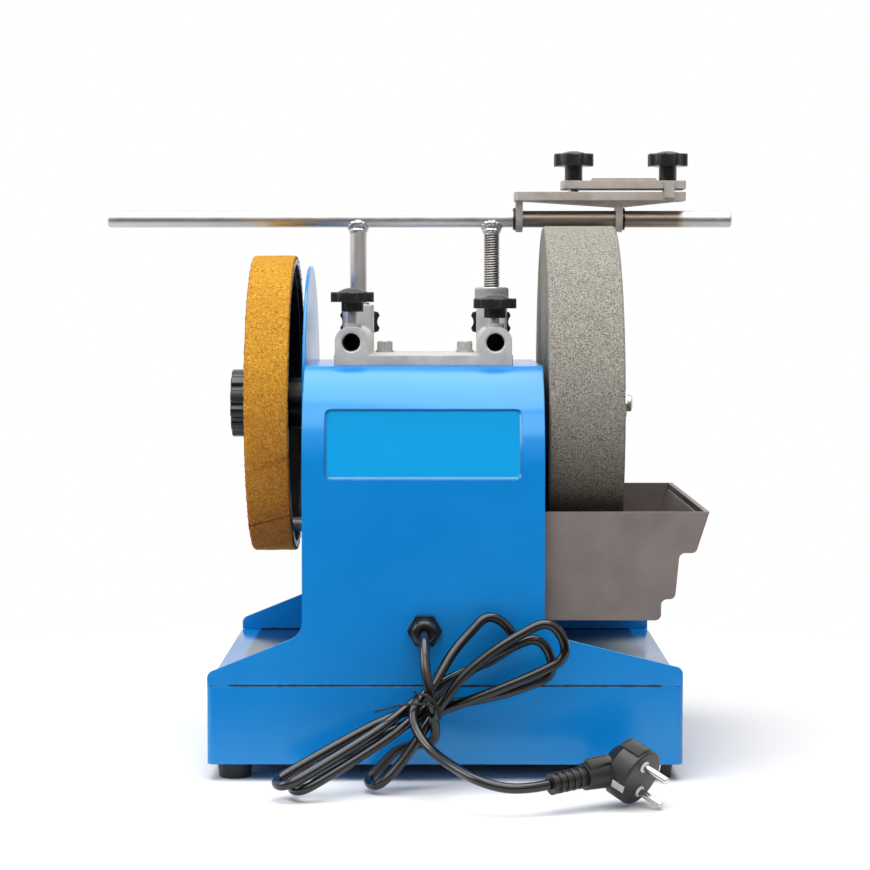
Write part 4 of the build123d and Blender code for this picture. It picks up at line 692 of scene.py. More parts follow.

# %% [markdown]
# ## Pressed panel
# The housing has a shallow rectangle pressed into its bend. The floor of a pressing is flat, so it
# doesn't catch the lamp that the bend round it mirrors: a mask over the rounded rectangle turns the
# shading normal there to one direction, and a bump round its border gives the pressed walls. The same
# mask paints the floor a lighter blue, as painted light.

# %% Pressed panel
PRESSED_MIDDLE = Vector((-14.15, 0.0, 221.2)) * MM
PRESSED_HALF = Vector((64.6, 0.0, 22.6)) * MM
PRESSED_CORNER, PRESSED_WALL, WALL_SHARE = 4.0 * MM, 1.6 * MM, 0.7
PRESSED_DEPTH = 1.4
PRESSED_TILT = math.radians(6)
PRESSED_PAINTED_LIGHT = screen_colour(0, 151, 217)
CORD_SIDE = (-20.0 * MM, -30.0 * MM)
TO_WORLD = {"vector_type": "NORMAL", "convert_from": "OBJECT", "convert_to": "WORLD"}

tree, shader = enamel("blue_panel")
maths = partial(math_node, tree)
vectors = partial(vector_math, tree)
place = object_place(tree)
off = vectors("ABSOLUTE", vectors("SUBTRACT", place, PRESSED_MIDDLE)[0])[0]
corner = Vector((PRESSED_CORNER, 0, PRESSED_CORNER))
beyond = vectors("SUBTRACT", off, PRESSED_HALF - corner)[0]
beyond = vectors("MULTIPLY", vectors("MAXIMUM", beyond, (0, 0, 0))[0], (1, 0, 1))[0]
edge = maths("SUBTRACT", vectors("LENGTH", beyond)["Value"], PRESSED_CORNER)
facing = ramp(tree, split(tree, place)["Y"], *CORD_SIDE)
inside = maths("MULTIPLY", facing, ramp(tree, edge, -PRESSED_WALL, -WALL_SHARE * PRESSED_WALL, 1.0, 0.0))
level = maths("MULTIPLY", facing, ramp(tree, edge, -PRESSED_WALL, 0.0))
flat = node(tree, "ShaderNodeCombineXYZ", {1: -math.cos(PRESSED_TILT), 2: math.sin(PRESSED_TILT)}).outputs[0]
flat = node(tree, "ShaderNodeVectorTransform", {0: flat}, **TO_WORLD).outputs[0]
# In a Mix node, inputs 4 and 5 and output 1 are the ones for vectors.
turned = {0: inside, 4: linked(shader, "Normal"), 5: flat}
turned = node(tree, "ShaderNodeMix", turned, data_type="VECTOR").outputs[1]
tree.links.new(relief(tree, level, 1.0, PRESSED_DEPTH, Normal=turned), shader.inputs["Normal"])
# Painted light: the pressed floor is made a lighter blue.
tint(tree, shader, inside, PRESSED_PAINTED_LIGHT)
shade_seam(tree, shader)
print("pressed rectangle", [round(2 * half, 4) for half in PRESSED_HALF if half], "m")

# %% [markdown]
# ## Stone
# The grindstone is a pressed mass of abrasive grains: warm grey, with lighter and darker grains of half a
# millimetre and a surface that is rough to the touch. Low down, where it runs through the water, it is
# darker and brown: partly its wet colour, partly painted shade from the trough. A noise and a finer
# pattern of cells give the grain, and the noise also gives the relief.

# %% Stone
GRAIN_DARK, GRAIN_PALE = screen_colour(52, 50, 43), screen_colour(186, 182, 171)
WET_AND_SHADE_BROWN = screen_colour(104, 86, 66)
SPECK_SHARE, TONES = 0.35, (0.1, 0.9)
DRY_ROUGH, WET_ROUGH = 0.92, 0.7
DRY_ABOVE, WET_BELOW, WET_RAGGED = 315.0 * MM, 150.0 * MM, 30.0 * MM

tree = new_finish("abrasive_stone")
maths = partial(math_node, tree)
place = object_place(tree)
grain = noise_at(tree, place, scale=1250.0, detail=2.0, roughness=0.7)
grit = node(tree, "ShaderNodeTexVoronoi", {"Vector": place, "Scale": 1700.0}).outputs
speck = node(tree, "ShaderNodeSeparateColor", {0: grit["Color"]}).outputs[0]
broad = maths("MULTIPLY", ramp(tree, grain, *CLOUD), 1 - SPECK_SHARE)
tone = ramp(tree, maths("MULTIPLY_ADD", speck, SPECK_SHARE, broad), *TONES)
ragged = noise_at(tree, place, scale=18.0, detail=4.0)
height = maths("MULTIPLY_ADD", ragged, WET_RAGGED, split(tree, place)["Z"])
wet_and_shade = ramp(tree, height, DRY_ABOVE, WET_BELOW, smooth=True)
colour = blend_colours(tree, tone, GRAIN_DARK, GRAIN_PALE)
# Darker and browner low down: partly the wet stone, partly painted shade from the trough.
colour = blend_colours(tree, wet_and_shade, colour, WET_AND_SHADE_BROWN, how="MULTIPLY")
rough = ramp(tree, wet_and_shade, 0.0, 1.0, DRY_ROUGH, WET_ROUGH)
normal = relief(tree, grain, strength=0.7, depth=0.4)
end_finish(tree, colour, rough, normal, Specular_IOR_Level=0.25)
print("stone wet below", WET_BELOW, "m")

# %% [markdown]
# ## Leather
# Honing leather is used with its rough side out: a golden nap with darker pits between its fibres. Paste
# and oil darken it, and the cut edges stay brown. It is darkest round the lapped end low on the wheel,
# partly from oil and partly as painted shade. How dark each place is follows the band round the wheel, so
# the mesh carries it as an attribute that the material reads.

# %% Leather
GOLDS = (screen_colour(148, 92, 10), screen_colour(230, 174, 60))
BROWNS = (screen_colour(112, 60, 12), screen_colour(200, 124, 46))
LINE_BROWN = screen_colour(64, 34, 12)
PIT_SHARE = 0.35
FIBRES, STAINED, LINED = (0.36, 0.63), (0.46, 0.74), (1.15, 1.9)
STAIN_OIL = 0.3
PIT_ROUGH, TIP_ROUGH = 0.95, 0.75

tree = new_finish("honing_leather")
maths = partial(math_node, tree)
place = object_place(tree)
nap = noise_at(tree, place, scale=640.0, detail=3.0, roughness=0.6, distortion=1.4)
pits = noise_at(tree, place, scale=1500.0, detail=2.0)
stain = noise_at(tree, place, scale=24.0, detail=5.0, roughness=0.6)
soaked = node(tree, "ShaderNodeAttribute", attribute_name="soaked").outputs["Fac"]
soaked = maths("ADD", soaked, ramp(tree, stain, *STAINED, 0.0, STAIN_OIL))
fibre = maths("MULTIPLY_ADD", pits, PIT_SHARE, maths("MULTIPLY", nap, 1 - PIT_SHARE))
fibre = ramp(tree, fibre, *FIBRES)
golden = blend_colours(tree, fibre, *GOLDS)
brown = blend_colours(tree, fibre, *BROWNS)
colour = blend_colours(tree, soaked, golden, brown)
colour = blend_colours(tree, ramp(tree, soaked, *LINED), colour, LINE_BROWN)
rough = ramp(tree, fibre, 0.0, 1.0, PIT_ROUGH, TIP_ROUGH)
normal = relief(tree, fibre, strength=0.75, depth=0.5)
end_finish(tree, colour, rough, normal, Specular_IOR_Level=0.2)
print("finishes", len(finishes))

# %% [markdown]
# ## Leather band
# The band is glued round the drum with a slanting lap joint. Its mesh is a ring of sections: each point
# is moved out or in by noise for the uneven hide, the cut edges wander a little, one slanting step marks
# the joint and a crease runs beside it. The same distances say how dark the leather is, with oil and
# painted shade round the lap.

# %% Leather band
low, high = (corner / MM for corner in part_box("honing_leather"))
BAND_LEFT, BAND_WIDTH = low.x, high.x - low.x
BAND_RADIUS, BAND_THICKNESS, DRUM_GAP = (high.z - low.z) / 2, 3.0, 0.05
BAND_CENTRE = Vector((0, 0, (low.z + high.z) / 2))
BAND_GIRTH = 2 * math.pi * BAND_RADIUS
RING_STEPS, ACROSS_STEPS = 640, 30
LAP_ANGLE, LAP_SLANT, LAP_STEP, LAP_LENGTH = math.radians(228), 13.0, 0.8, 60.0
CREASE_AT, CREASE_WIDTH, CREASE_DEPTH = 48.0, 2.2, 0.6
EDGE_WIDTH, EDGE_DROP, EDGE_WANDER = 1.5, 0.7, 0.5
DARK_REACH, LINE_WIDTH, BROWN_EDGE = 120.0, 1.4, 1.2
INNER_SHARES = (0.98, 0.5, 0.02)
# Height and fineness of the hide's fine and broad unevenness, and fineness of its cut edges.
HIDE, EDGE_FINENESS = ((0.20, 0.9), (0.25, 0.12)), 0.35
# How dark each place is: oil, and painted shade round the lap. The lap is darkest over two thirds of its
# length, then it fades.
LAP_OIL_AND_SHADE, LAP_SOAKED, BEFORE_LAP_OIL_AND_SHADE, CREASE_DARKENING = 0.95, 3, 0.85, 0.45
LINE_OIL, EDGE_OIL, INNER_OIL = 0.7, 0.6, 0.9


def mesh_piece(name, points, faces, finish_name, **attributes):
    """A smooth finished piece from points in millimetres, with named values for each point."""
    mesh = bpy.data.meshes.new(name)
    mesh.from_pydata([p * MM for p in points], [], faces)
    mesh.shade_smooth()
    for title, values in attributes.items():
        mesh.attributes.new(title, "FLOAT", "POINT").data.foreach_set("value", values)
    mesh.materials.append(finishes[finish_name])
    piece = bpy.data.objects.new(name, mesh)
    scene.collection.objects.link(piece)
    print(name, len(mesh.polygons), "faces")
    return piece


def ring_faces(rings, around):
    """Quads between closed rings of equal length, with the last ring joined to the first."""
    faces = []
    for i in range(rings):
        for j in range(around):
            a, b = i * around, (i + 1) % rings * around
            k = (j + 1) % around
            faces.append((a + j, a + k, b + k, b + j))
    return faces


def fading(distance, reach):
    """1 at a place, falling to 0 at a reach from it."""
    return max(0.0, 1 - distance / reach)


def leather_point(out, angle, share):
    """A point on the outside of the band, at a share of its width, and how dark it is."""
    x = BAND_LEFT + BAND_WIDTH * share
    spot = Vector((x, 0, 0)) + out * BAND_RADIUS
    beyond = ((angle - LAP_ANGLE) * BAND_RADIUS + (share - 0.5) * LAP_SLANT) % BAND_GIRTH
    short_of = BAND_GIRTH - beyond
    from_edge = min(share, 1 - share) * BAND_WIDTH
    lapped = fading(beyond, LAP_LENGTH)
    crease = share * math.exp(-(((short_of - CREASE_AT) / CREASE_WIDTH) ** 2))
    edge = fading(from_edge, EDGE_WIDTH)
    radius = BAND_RADIUS - LAP_STEP + LAP_STEP * lapped**2 - CREASE_DEPTH * crease - EDGE_DROP * edge**2
    radius += sum(height * noise.noise(spot * fineness) for height, fineness in HIDE)
    x += EDGE_WANDER * noise.noise(spot * EDGE_FINENESS) * edge
    # Oil and painted shade darken the band round the lap, low on the wheel.
    darkening = LAP_OIL_AND_SHADE * min(1.0, LAP_SOAKED * lapped) + BEFORE_LAP_OIL_AND_SHADE * fading(short_of, DARK_REACH)
    # The crease is darker too.
    darkening += CREASE_DARKENING * crease + LINE_OIL * fading(min(beyond, short_of), LINE_WIDTH)
    darkening += EDGE_OIL * fading(from_edge, BROWN_EDGE)
    return BAND_CENTRE + Vector((x, 0, 0)) + out * radius, darkening


def leather_section(angle):
    """One section of the band: across the outside, then back along the drum."""
    out = Vector((0, math.cos(angle), math.sin(angle)))
    section = [leather_point(out, angle, i / ACROSS_STEPS) for i in range(ACROSS_STEPS + 1)]
    for share in INNER_SHARES:
        across = Vector((BAND_LEFT + BAND_WIDTH * share, 0, 0))
        section.append((BAND_CENTRE + across + out * (BAND_RADIUS - BAND_THICKNESS + DRUM_GAP), INNER_OIL))
    return section


band = [spot for i in range(RING_STEPS) for spot in leather_section(-2 * math.pi * i / RING_STEPS)]
band_points, band_soaked = zip(*band)
band_faces = ring_faces(RING_STEPS, len(band) // RING_STEPS)
leather_band = mesh_piece("leather_band", band_points, band_faces, "honing_leather", soaked=band_soaked)
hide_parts("honing_leather")
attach(leather_band, "spindle")

# %% [markdown]
# ## Plug grips
# The plug is moulded round the cord. Two raised pads, one on its head and one on its arm, give the
# fingers a grip. They sit in the plug's own frame: one axis along the pins, one towards the end of the
# head and one across. Each is a block whose top is inset and sunk, with all edges rounded as a mould
# leaves them.

# %% Plug grips
HEAD_RADIUS, HEAD_PAD, HEAD_PAD_BACK = 18.5, (15.0, 11.0, 4.5), 9.5
ARM_RADIUS, ARM_PAD, ARM_PAD_BACK = 10.0, (17.0, 8.0, 4.5), 20.5
PAD_SINK, PAD_RIM, PAD_HOLLOW, PAD_ROUND = 1.2, 1.4, 0.9, 0.55
plug_across = (CORD_WAY - PIN_WAY * CORD_WAY.dot(PIN_WAY)).normalized()
plug_up = PIN_WAY.cross(plug_across)
arm_up = (plug_up - CORD_WAY * plug_up.dot(CORD_WAY)).normalized()


def pad(centre, along, up, size):
    """Points and faces of a pad with a sunken middle: its length, width and thickness in millimetres."""
    across = up.cross(along)
    shape = bmesh.new()
    bmesh.ops.create_cube(shape, size=1.0)
    turned = Matrix((along * size[0], across * size[1], up * size[2])).transposed().to_4x4()
    bmesh.ops.transform(shape, matrix=Matrix.Translation(centre) @ turned, verts=shape.verts)
    shape.normal_update()
    top = max(shape.faces, key=lambda face: face.normal.dot(up))
    bmesh.ops.inset_region(shape, faces=[top], thickness=PAD_RIM)
    bmesh.ops.translate(shape, verts=top.verts, vec=-up * PAD_HOLLOW)
    bmesh.ops.bevel(shape, geom=shape.edges, offset=PAD_ROUND, segments=3, affect="EDGES", profile=0.5)
    bmesh.ops.recalc_face_normals(shape, faces=shape.faces)
    shape.verts.index_update()
    points = [v.co.copy() for v in shape.verts]
    faces = [tuple(v.index for v in face.verts) for face in shape.faces]
    shape.free()
    return points, faces


def joined(shapes):
    """The points and faces of several shapes as one."""
    points = []
    faces = []
    for more_points, more_faces in shapes:
        faces += [tuple(len(points) + k for k in face) for face in more_faces]
        points += more_points
    return points, faces


head_spot = PLUG_FACE - PIN_WAY * HEAD_PAD_BACK + plug_up * (HEAD_RADIUS - PAD_SINK)
arm_spot = ARM_START - CORD_WAY * ARM_PAD_BACK + arm_up * (ARM_RADIUS - PAD_SINK)
pads = [pad(head_spot, PIN_WAY, plug_up, HEAD_PAD), pad(arm_spot, CORD_WAY, arm_up, ARM_PAD)]
plug_grips = mesh_piece("plug_grips", *joined(pads), "plug_plastic")
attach(plug_grips, "machine")

# %% [markdown]
# ## Pin collars
# A pale collar holds each pin where it leaves the plug. It is a turned shape, so one section with a cut
# corner is carried round the pin.

# %% Pin collars
PIN_SPACING, PIN_RADIUS, PIN_GAP = 19.0, 2.4, 0.06
COLLAR_WALL, COLLAR_HEIGHT, COLLAR_CORNER, COLLAR_SINK, COLLAR_SIDES = 1.3, 1.2, 0.48, 0.4, 32


def collar(centre, axis):
    """Points and faces of a collar round a pin."""
    inner, outer = PIN_RADIUS + PIN_GAP, PIN_RADIUS + COLLAR_WALL
    first = axis.orthogonal().normalized()
    second = axis.cross(first)
    section = [(inner, COLLAR_HEIGHT), (outer - COLLAR_CORNER, COLLAR_HEIGHT)]
    section += [(outer, COLLAR_HEIGHT - COLLAR_CORNER), (outer, -COLLAR_SINK), (inner, -COLLAR_SINK)]
    points = []
    for i in range(COLLAR_SIDES):
        angle = 2 * math.pi * i / COLLAR_SIDES
        out = first * math.cos(angle) + second * math.sin(angle)
        points += [centre + out * radius + axis * rise for radius, rise in section]
    return points, ring_faces(COLLAR_SIDES, len(section))


collars = [collar(PLUG_FACE + plug_up * (side * PIN_SPACING / 2), PIN_WAY) for side in (-1, 1)]
pin_collars = mesh_piece("pin_collars", *joined(collars), "white_plastic")
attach(pin_collars, "machine")

# %% [markdown]
# ## Smooth curves on the CAD pieces
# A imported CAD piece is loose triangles. A small Geometry Nodes tree merges them and shades them smooth,
# except over edges sharper than a given angle, so that turned parts look round and folded sheet keeps its
# corners.

# %% Smooth curves on the CAD pieces
SHARP_ANGLE, MERGE_WITHIN = math.radians(28), 0.002 * MM
SOCKETS = {int: "NodeSocketInt", float: "NodeSocketFloat", Vector: "NodeSocketVector"}
SOCKETS[bpy.types.Material] = "NodeSocketMaterial"


def geometry_tree(name, inputs):
    """A Geometry Nodes tree with a geometry going in and out, and named inputs of its own."""
    tree = bpy.data.node_groups.new(name, "GeometryNodeTree")
    tree.interface.new_socket("Geometry", in_out="INPUT", socket_type="NodeSocketGeometry")
    for title, value in inputs.items():
        socket = tree.interface.new_socket(title, in_out="INPUT", socket_type=SOCKETS[type(value)])
        socket.default_value = value
    tree.interface.new_socket("Geometry", in_out="OUTPUT", socket_type="NodeSocketGeometry")
    return tree, tree.nodes.new("NodeGroupInput").outputs, tree.nodes.new("NodeGroupOutput").inputs


def smooth_over(tree, geometry, angle):
    """Adds nodes that shade smooth except over edges sharper than an angle."""
    inputs = {"Geometry": geometry, "Shade Smooth": True}
    faces = node(tree, "GeometryNodeSetShadeSmooth", inputs, domain="FACE").outputs[0]
    inputs = {0: node(tree, "GeometryNodeInputMeshEdgeAngle").outputs[0], 1: angle}
    sharp = node(tree, "FunctionNodeCompare", inputs, data_type="FLOAT", operation="GREATER_THAN").outputs[0]
    inputs = {"Geometry": faces, "Selection": sharp, "Shade Smooth": False}
    return node(tree, "GeometryNodeSetShadeSmooth", inputs, domain="EDGE").outputs[0]


smooth_by_angle, given, result = geometry_tree("smooth_by_angle", {"Angle": SHARP_ANGLE})
inputs = {"Geometry": given["Geometry"], "Distance": MERGE_WITHIN}
merged = node(smooth_by_angle, "GeometryNodeMergeByDistance", inputs).outputs[0]
smooth_by_angle.links.new(smooth_over(smooth_by_angle, merged, given["Angle"]), result["Geometry"])
print("smooth up to", round(math.degrees(SHARP_ANGLE)), "degrees")

# %% [markdown]
# ## Dressing the CAD pieces
# Every CAD piece that stays gets its finish and its smooth curves. Sheet metal is enamelled, rods are
# drawn, screws are plated and everything that a hand turns is plastic.

# %% Dressing the CAD pieces
dressed = []


def dress(finish_name, *names):
    """Gives CAD pieces a finish and smooth curves."""
    for name in names:
        piece = nodes[name]
        if not piece.material_slots:
            piece.data.materials.append(None)
        for slot in piece.material_slots:
            slot.material = finishes[finish_name]
        piece.modifiers.new("smooth", "NODES").node_group = smooth_by_angle
        dressed.append(name)


dress("blue_panel", "housing_shell")
dress("blue_pan", "base_pan")
dress("blue_enamel", "left_side_panel", "wheel_shield", "right_side_panel")
dress("black_enamel", "bottom_cover", "motor_case", "motor_bracket")
dress("black_rubber", "rubber_feet", "drive_ring")
dress("plated_steel", "foot_screws", "panel_screws", "stone_flanges", "stone_nut")
dress("plated_steel", "motor_bolts", "trough_screws", "motor_bearings", "jig_studs")
dress("plated_steel", "sleeve_screw_left", "sleeve_screw_right", "leg_screw_left", "leg_screw_right")
dress("steel_x", "main_shaft", "motor_shaft")
dress("bar_steel", "support_bar")
dress("steel_z", "smooth_leg")
dress("turned_steel", "height_nut", "casting_bolts", "casting_washers")
dress("grey_casting", "support_casting")
dress("jig_casting", "jig_base", "jig_clamp")
dress("bronze", "shaft_bearings")
dress("abrasive_stone", "grindstone")
dress("black_plastic", "honing_drum", "honing_knob", "jig_bushes", "switch_bezel", "cable_gland")
dress("knob_plastic", "sleeve_knob_left", "sleeve_knob_right", "leg_knob_left", "leg_knob_right")
dress("knob_plastic", "jig_knob_left", "jig_knob_right")
dress("iron_core", "motor_stator", "motor_rotor", "friction_roller")
dress("white_plastic", "capacitor")
dress("trough_plastic", "water_trough")
dress("switch_red", "switch_rocker")
dress("plug_plastic", "plug_body")
dress("nickel", "plug_contacts")
print("dressed", len(dressed), "CAD pieces")

# %% [markdown]
# ## From a tree to a piece
# Shapes that follow a rule are made by Geometry Nodes. Each such tree ends in the same way, with its
# instances made real, shaded and given a finish. What it makes is then kept as a plain mesh, so the piece
# no longer depends on the tree. The finish of the threaded leg is made here too: it is darker where an
# attribute says that it is cut deep.

# %% From a tree to a piece
ROOT_DARK, ROOT_FROM, ROOT_TO, ROOT_SHARE = screen_colour(58, 52, 48), 0.25, 0.95, 0.9


def end_tree(tree, given, result, geometry, sharp_angle):
    """Ends a tree: instances made real, smooth shading and the finish."""
    real = node(tree, "GeometryNodeRealizeInstances", {"Geometry": geometry}).outputs[0]
    inputs = {"Geometry": smooth_over(tree, real, sharp_angle), "Material": given["Finish"]}
    tree.links.new(node(tree, "GeometryNodeSetMaterial", inputs).outputs[0], result["Geometry"])


def grown(name, tree, body, slot_name, **values):
    """A piece made by a Geometry Nodes tree, turned into a plain mesh that rides on a body."""
    piece = bpy.data.objects.new(name, bpy.data.meshes.new(name))
    scene.collection.objects.link(piece)
    modifier = piece.modifiers.new("grow", "NODES")
    modifier.node_group = tree
    sockets = {item.name: item.identifier for item in tree.interface.items_tree if item.in_out == "INPUT"}
    for title, value in values.items():
        modifier[sockets[title]] = value
    graph = bpy.context.evaluated_depsgraph_get()
    made = piece.evaluated_get(graph)
    mesh = bpy.data.meshes.new_from_object(made, preserve_all_data_layers=True, depsgraph=graph)
    piece.modifiers.remove(modifier)
    piece.data = mesh
    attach(piece, body)
    print(name, len(mesh.polygons), "faces")
    return piece


tree, shader = finish(
    "threaded_steel", drawn_z, grey_pair(176, 204, 4), (0.3, 0.42), (0.1, 0.03), Metallic=1.0
)
root = node(tree, "ShaderNodeAttribute", attribute_name="root").outputs["Fac"]
# Darker where the thread is cut deep.
tint(tree, shader, ramp(tree, root, ROOT_FROM, ROOT_TO, 0.0, ROOT_SHARE), ROOT_DARK)
print("finishes", len(finishes))

# %% [markdown]
# ## Threaded leg
# The right-hand leg is a threaded rod that the height nut runs on. A lathe cuts its thread as one groove
# wound in a helix. A Geometry Nodes tree does the same to a finely divided cylinder: it moves each point
# inward by a rule of its height and its angle together, which gives one helix and not a row of rings. It
# also stores how deep each point is cut, for the finish.

# %% Threaded leg
THREAD_PITCH, THREAD_DEPTH, WELD_DROP = 1.75 * MM, 0.95 * MM, 9.5 * MM
STEPS_PER_PITCH, THREAD_SIDES, THREAD_SHARP = 8, 36, math.radians(80)
CREST_TO_ROOT = (0.12, 0.92)

low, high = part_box("threaded_leg")
thread_inputs = {
    "Radius": (high.x - low.x) / 2,
    "Bottom": low.z,
    "Top": high.z - WELD_DROP,
    "End": high.z,
    "Axis": Vector(((low.x + high.x) / 2, (low.y + high.y) / 2, 0)),
    "Pitch": THREAD_PITCH,
    "Depth": THREAD_DEPTH,
    "Steps": int((high.z - low.z) / THREAD_PITCH * STEPS_PER_PITCH),
    "Finish": finishes["threaded_steel"],
}
thread, given, result = geometry_tree("thread", thread_inputs)
maths = partial(math_node, thread)
length = maths("SUBTRACT", given["End"], given["Bottom"])
middle = maths("MULTIPLY_ADD", length, 0.5, given["Bottom"])
inputs = {"Vertices": THREAD_SIDES, "Side Segments": given["Steps"]}
inputs.update({"Radius": given["Radius"], "Depth": length})
rod = node(thread, "GeometryNodeMeshCylinder", inputs).outputs[0]
raised = node(thread, "ShaderNodeCombineXYZ", {2: middle}).outputs[0]
rod = node(thread, "GeometryNodeTransform", {"Geometry": rod, "Translation": raised}).outputs[0]
place = split(thread, node(thread, "GeometryNodeInputPosition").outputs[0])
turns = maths("DIVIDE", maths("ARCTAN2", place["Y"], place["X"]), 2 * math.pi)
wound = maths("SUBTRACT", maths("DIVIDE", place["Z"], given["Pitch"]), turns)
groove = maths("PINGPONG", maths("MULTIPLY", wound, 2.0), 1.0)
begun = ramp(thread, place["Z"], given["Bottom"], maths("ADD", given["Bottom"], given["Pitch"]))
ended = ramp(thread, place["Z"], maths("SUBTRACT", given["Top"], given["Pitch"]), given["Top"], 1.0, 0.0)
cut = maths("MULTIPLY", ramp(thread, groove, *CREST_TO_ROOT), maths("MINIMUM", begun, ended))
inward = maths("MULTIPLY", cut, maths("DIVIDE", given["Depth"], given["Radius"]))
inward = maths("MULTIPLY", inward, -1.0)
step_x = maths("MULTIPLY", place["X"], inward)
step_y = maths("MULTIPLY", place["Y"], inward)
offset = node(thread, "ShaderNodeCombineXYZ", {0: step_x, 1: step_y}).outputs[0]
inputs = {"Geometry": rod, "Name": "root", "Value": cut}
on_points = {"data_type": "FLOAT", "domain": "POINT"}
marked = node(thread, "GeometryNodeStoreNamedAttribute", inputs, **on_points).outputs[0]
threaded = node(thread, "GeometryNodeSetPosition", {"Geometry": marked, "Offset": offset}).outputs[0]
inputs = {"Geometry": threaded, "Translation": given["Axis"]}
placed = node(thread, "GeometryNodeTransform", inputs).outputs[0]
end_tree(thread, given, result, placed, THREAD_SHARP)

leg_thread = grown("leg_thread", thread, "support", "polished_steel", **thread_inputs)
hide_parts("threaded_leg")

# %% [markdown]
# ## Knurls
# The heads of socket screws and the height nut have a knurled rim for the fingers. A knurl is one ridge
# repeated round a circle, which is what Geometry Nodes do best: the tree puts the ridge on the points of
# a circle, and that ring on the points of a line, once for each screw.

# %% Knurls
BOLT_RADIUS, BOLT_RIDGE, BOLT_RIDGES = 5.0 * MM, 0.7 * MM, 20
BOLT_SINK, BOLT_ROOM, BOLT_DROP = 0.2 * MM, 1.2 * MM, 0.3 * MM
NUT_RIDGE, NUT_RIDGES, NUT_SINK, NUT_ROOM = 0.36 * MM, 84, 0.1 * MM, 2.6 * MM
RING_SHARP = math.radians(40)
NOWHERE = Vector((0, 0, 0))
RING_INPUTS = {"Radius": BOLT_RADIUS, "Count": BOLT_RIDGES, "First": NOWHERE, "Step": NOWHERE, "Copies": 1}
RING_INPUTS["Finish"] = finishes["plated_steel"]


def circle_of(tree, given):
    """The points of a circle, and the turn that makes an instance on each of them face outward."""
    inputs = {"Vertices": given["Count"], "Radius": given["Radius"]}
    circle = node(tree, "GeometryNodeMeshCircle", inputs).outputs[0]
    outward = node(tree, "GeometryNodeInputPosition").outputs[0]
    return circle, node(tree, "FunctionNodeAlignRotationToVector", {"Vector": outward}, axis="X").outputs[0]


def rings_of(tree, given, result, points, shape, turn, **placing):
    """Puts a shape on the points of a ring and that ring on a line's points, and ends the tree."""
    inputs = {"Points": points, "Instance": shape, "Rotation": turn, **placing}
    ring = node(tree, "GeometryNodeInstanceOnPoints", inputs).outputs[0]
    inputs = {"Count": given["Copies"], "Start Location": given["First"], "Offset": given["Step"]}
    line = node(tree, "GeometryNodeMeshLine", inputs).outputs[0]
    rings = node(tree, "GeometryNodeInstanceOnPoints", {"Points": line, "Instance": ring}).outputs[0]
    end_tree(tree, given, result, rings, RING_SHARP)


knurl, given, result = geometry_tree("knurl", {**RING_INPUTS, "Height": BOLT_RADIUS, "Ridge": BOLT_RIDGE})
circle, turn = circle_of(knurl, given)
inputs = {"Vertices": 4, "Radius": given["Ridge"], "Depth": given["Height"]}
rings_of(knurl, given, result, circle, node(knurl, "GeometryNodeMeshCylinder", inputs).outputs[0], turn)

low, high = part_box("casting_bolts")
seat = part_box("casting_washers")[1].z
grown(
    "bolt_knurls", knurl, "machine", "plated_steel", Radius=BOLT_RADIUS - BOLT_SINK, Count=BOLT_RIDGES,
    First=Vector((low.x + BOLT_RADIUS, (low.y + high.y) / 2, (seat + high.z) / 2 - BOLT_DROP)),
    Step=Vector((high.x - low.x - 2 * BOLT_RADIUS, 0, 0)), Copies=2,
    Height=high.z - seat - BOLT_ROOM, Ridge=BOLT_RIDGE, Finish=finishes["turned_steel"],
)
low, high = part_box("height_nut")
grown(
    "nut_knurl", knurl, "height_nut", "plated_steel", Radius=(high.x - low.x) / 2 - NUT_SINK,
    Count=NUT_RIDGES, First=(low + high) / 2, Copies=1,
    Height=high.z - low.z - NUT_ROOM, Ridge=NUT_RIDGE, Finish=finishes["turned_steel"],
)

# %% [markdown]
# ## Weld beads
# Each leg is held to the bar by a bead of weld, laid as a row of lumps that run into each other. The same
# kind of tree puts uneven lumps round the leg. Its circle is bent into a saddle first, because the bead
# follows the round underside of the bar. A second, level ring closes the bead round the leg below.

# %% Weld beads
LUMP, LUMP_LEAST, LUMP_MOST = 2.1 * MM, (0.75, 1.0, 0.85), (1.05, 1.4, 1.25)
CROWN_INSET, CROWN_LUMPS, CROWN_SEED = 1.3 * MM, 14, 7
FOOT_INSET, FOOT_DROP, FOOT_LUMPS, FOOT_SEED = 2.2 * MM, 2.2 * MM, 12, 3
SADDLE_LEAST = 0.3
low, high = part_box("support_welds")
bar_low, bar_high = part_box("support_bar")
weld_radius = (high.y - low.y) / 2
bar_radius = (bar_high.z - bar_low.z) / 2

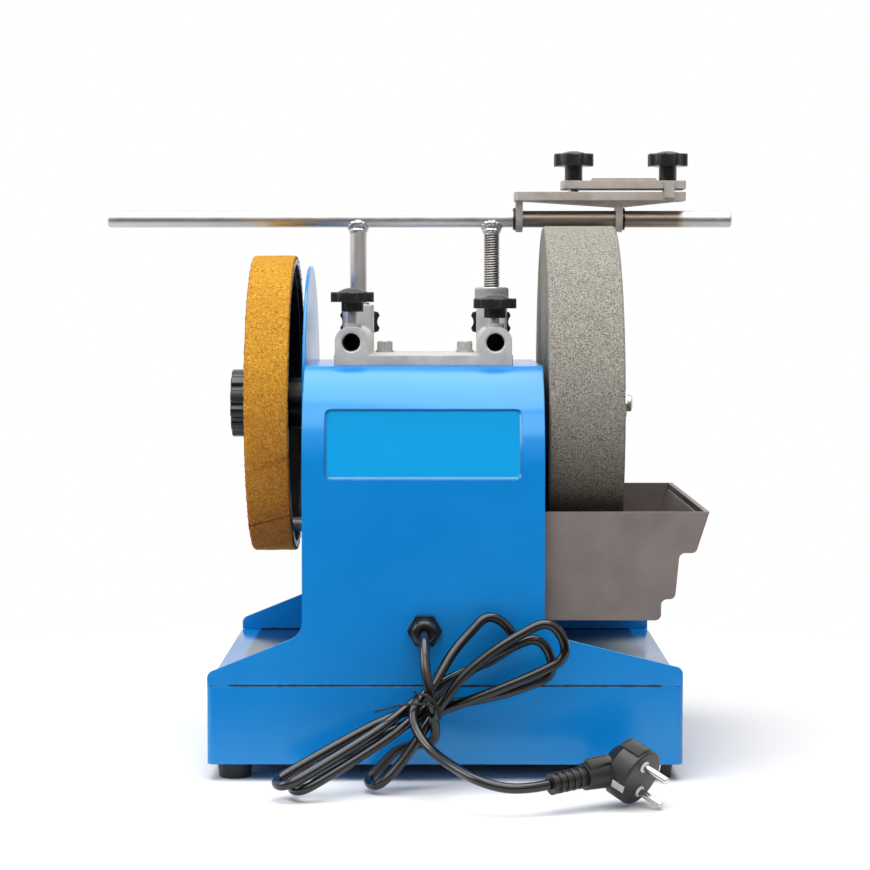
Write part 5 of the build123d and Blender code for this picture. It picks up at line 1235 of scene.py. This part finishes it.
weld_inputs = {**RING_INPUTS, "Lump": LUMP, "Bar": bar_radius, "Seed": CROWN_SEED}
weld_bead, given, result = geometry_tree("weld_bead", weld_inputs)
maths = partial(math_node, weld_bead)
circle, turn = circle_of(weld_bead, given)
across = split(weld_bead, node(weld_bead, "GeometryNodeInputPosition").outputs[0])["Y"]
bar_squared = maths("MULTIPLY", given["Bar"], given["Bar"])
under = maths("SUBTRACT", bar_squared, maths("MULTIPLY", across, across))
under = maths("SQRT", maths("MAXIMUM", under, maths("MULTIPLY", bar_squared, SADDLE_LEAST)))
drop = node(weld_bead, "ShaderNodeCombineXYZ", {2: maths("MULTIPLY", under, -1.0)}).outputs[0]
saddle = node(weld_bead, "GeometryNodeSetPosition", {"Geometry": circle, "Offset": drop}).outputs[0]
inputs = {"Radius": given["Lump"], "Subdivisions": 3}
lump = node(weld_bead, "GeometryNodeMeshIcoSphere", inputs).outputs[0]
inputs = {"Min": LUMP_LEAST, "Max": LUMP_MOST, "Seed": given["Seed"]}
uneven = node(weld_bead, "FunctionNodeRandomValue", inputs, data_type="FLOAT_VECTOR").outputs[0]
rings_of(weld_bead, given, result, saddle, lump, turn, Scale=uneven)

first = Vector((low.x + weld_radius, (low.y + high.y) / 2, (bar_low.z + bar_high.z) / 2))
beads = {"Step": Vector((high.x - low.x - 2 * weld_radius, 0, 0)), "Copies": 2, "Lump": LUMP}
weld_crown = grown(
    "weld_crown", weld_bead, "support", "plated_steel", Radius=weld_radius - CROWN_INSET, Count=CROWN_LUMPS,
    First=first, Bar=bar_radius, Seed=CROWN_SEED, **beads,
)
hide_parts("support_welds")
grown(
    "weld_foot", weld_bead, "support", "plated_steel", Radius=weld_radius - FOOT_INSET, Count=FOOT_LUMPS,
    First=first - Vector((0, 0, bar_radius + FOOT_DROP)), Bar=0.0, Seed=FOOT_SEED, **beads,
)

# %% [markdown]
# ## Sizes
# The dressed model has to stay in the CAD model's box, so both boxes are kept side by side.

# %% Sizes
boxes = {"cad": cad_box, "visual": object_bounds()}
boxes = {name: [[float(c) for c in corner] for corner in box] for name, box in boxes.items()}
print("sizes", boxes)
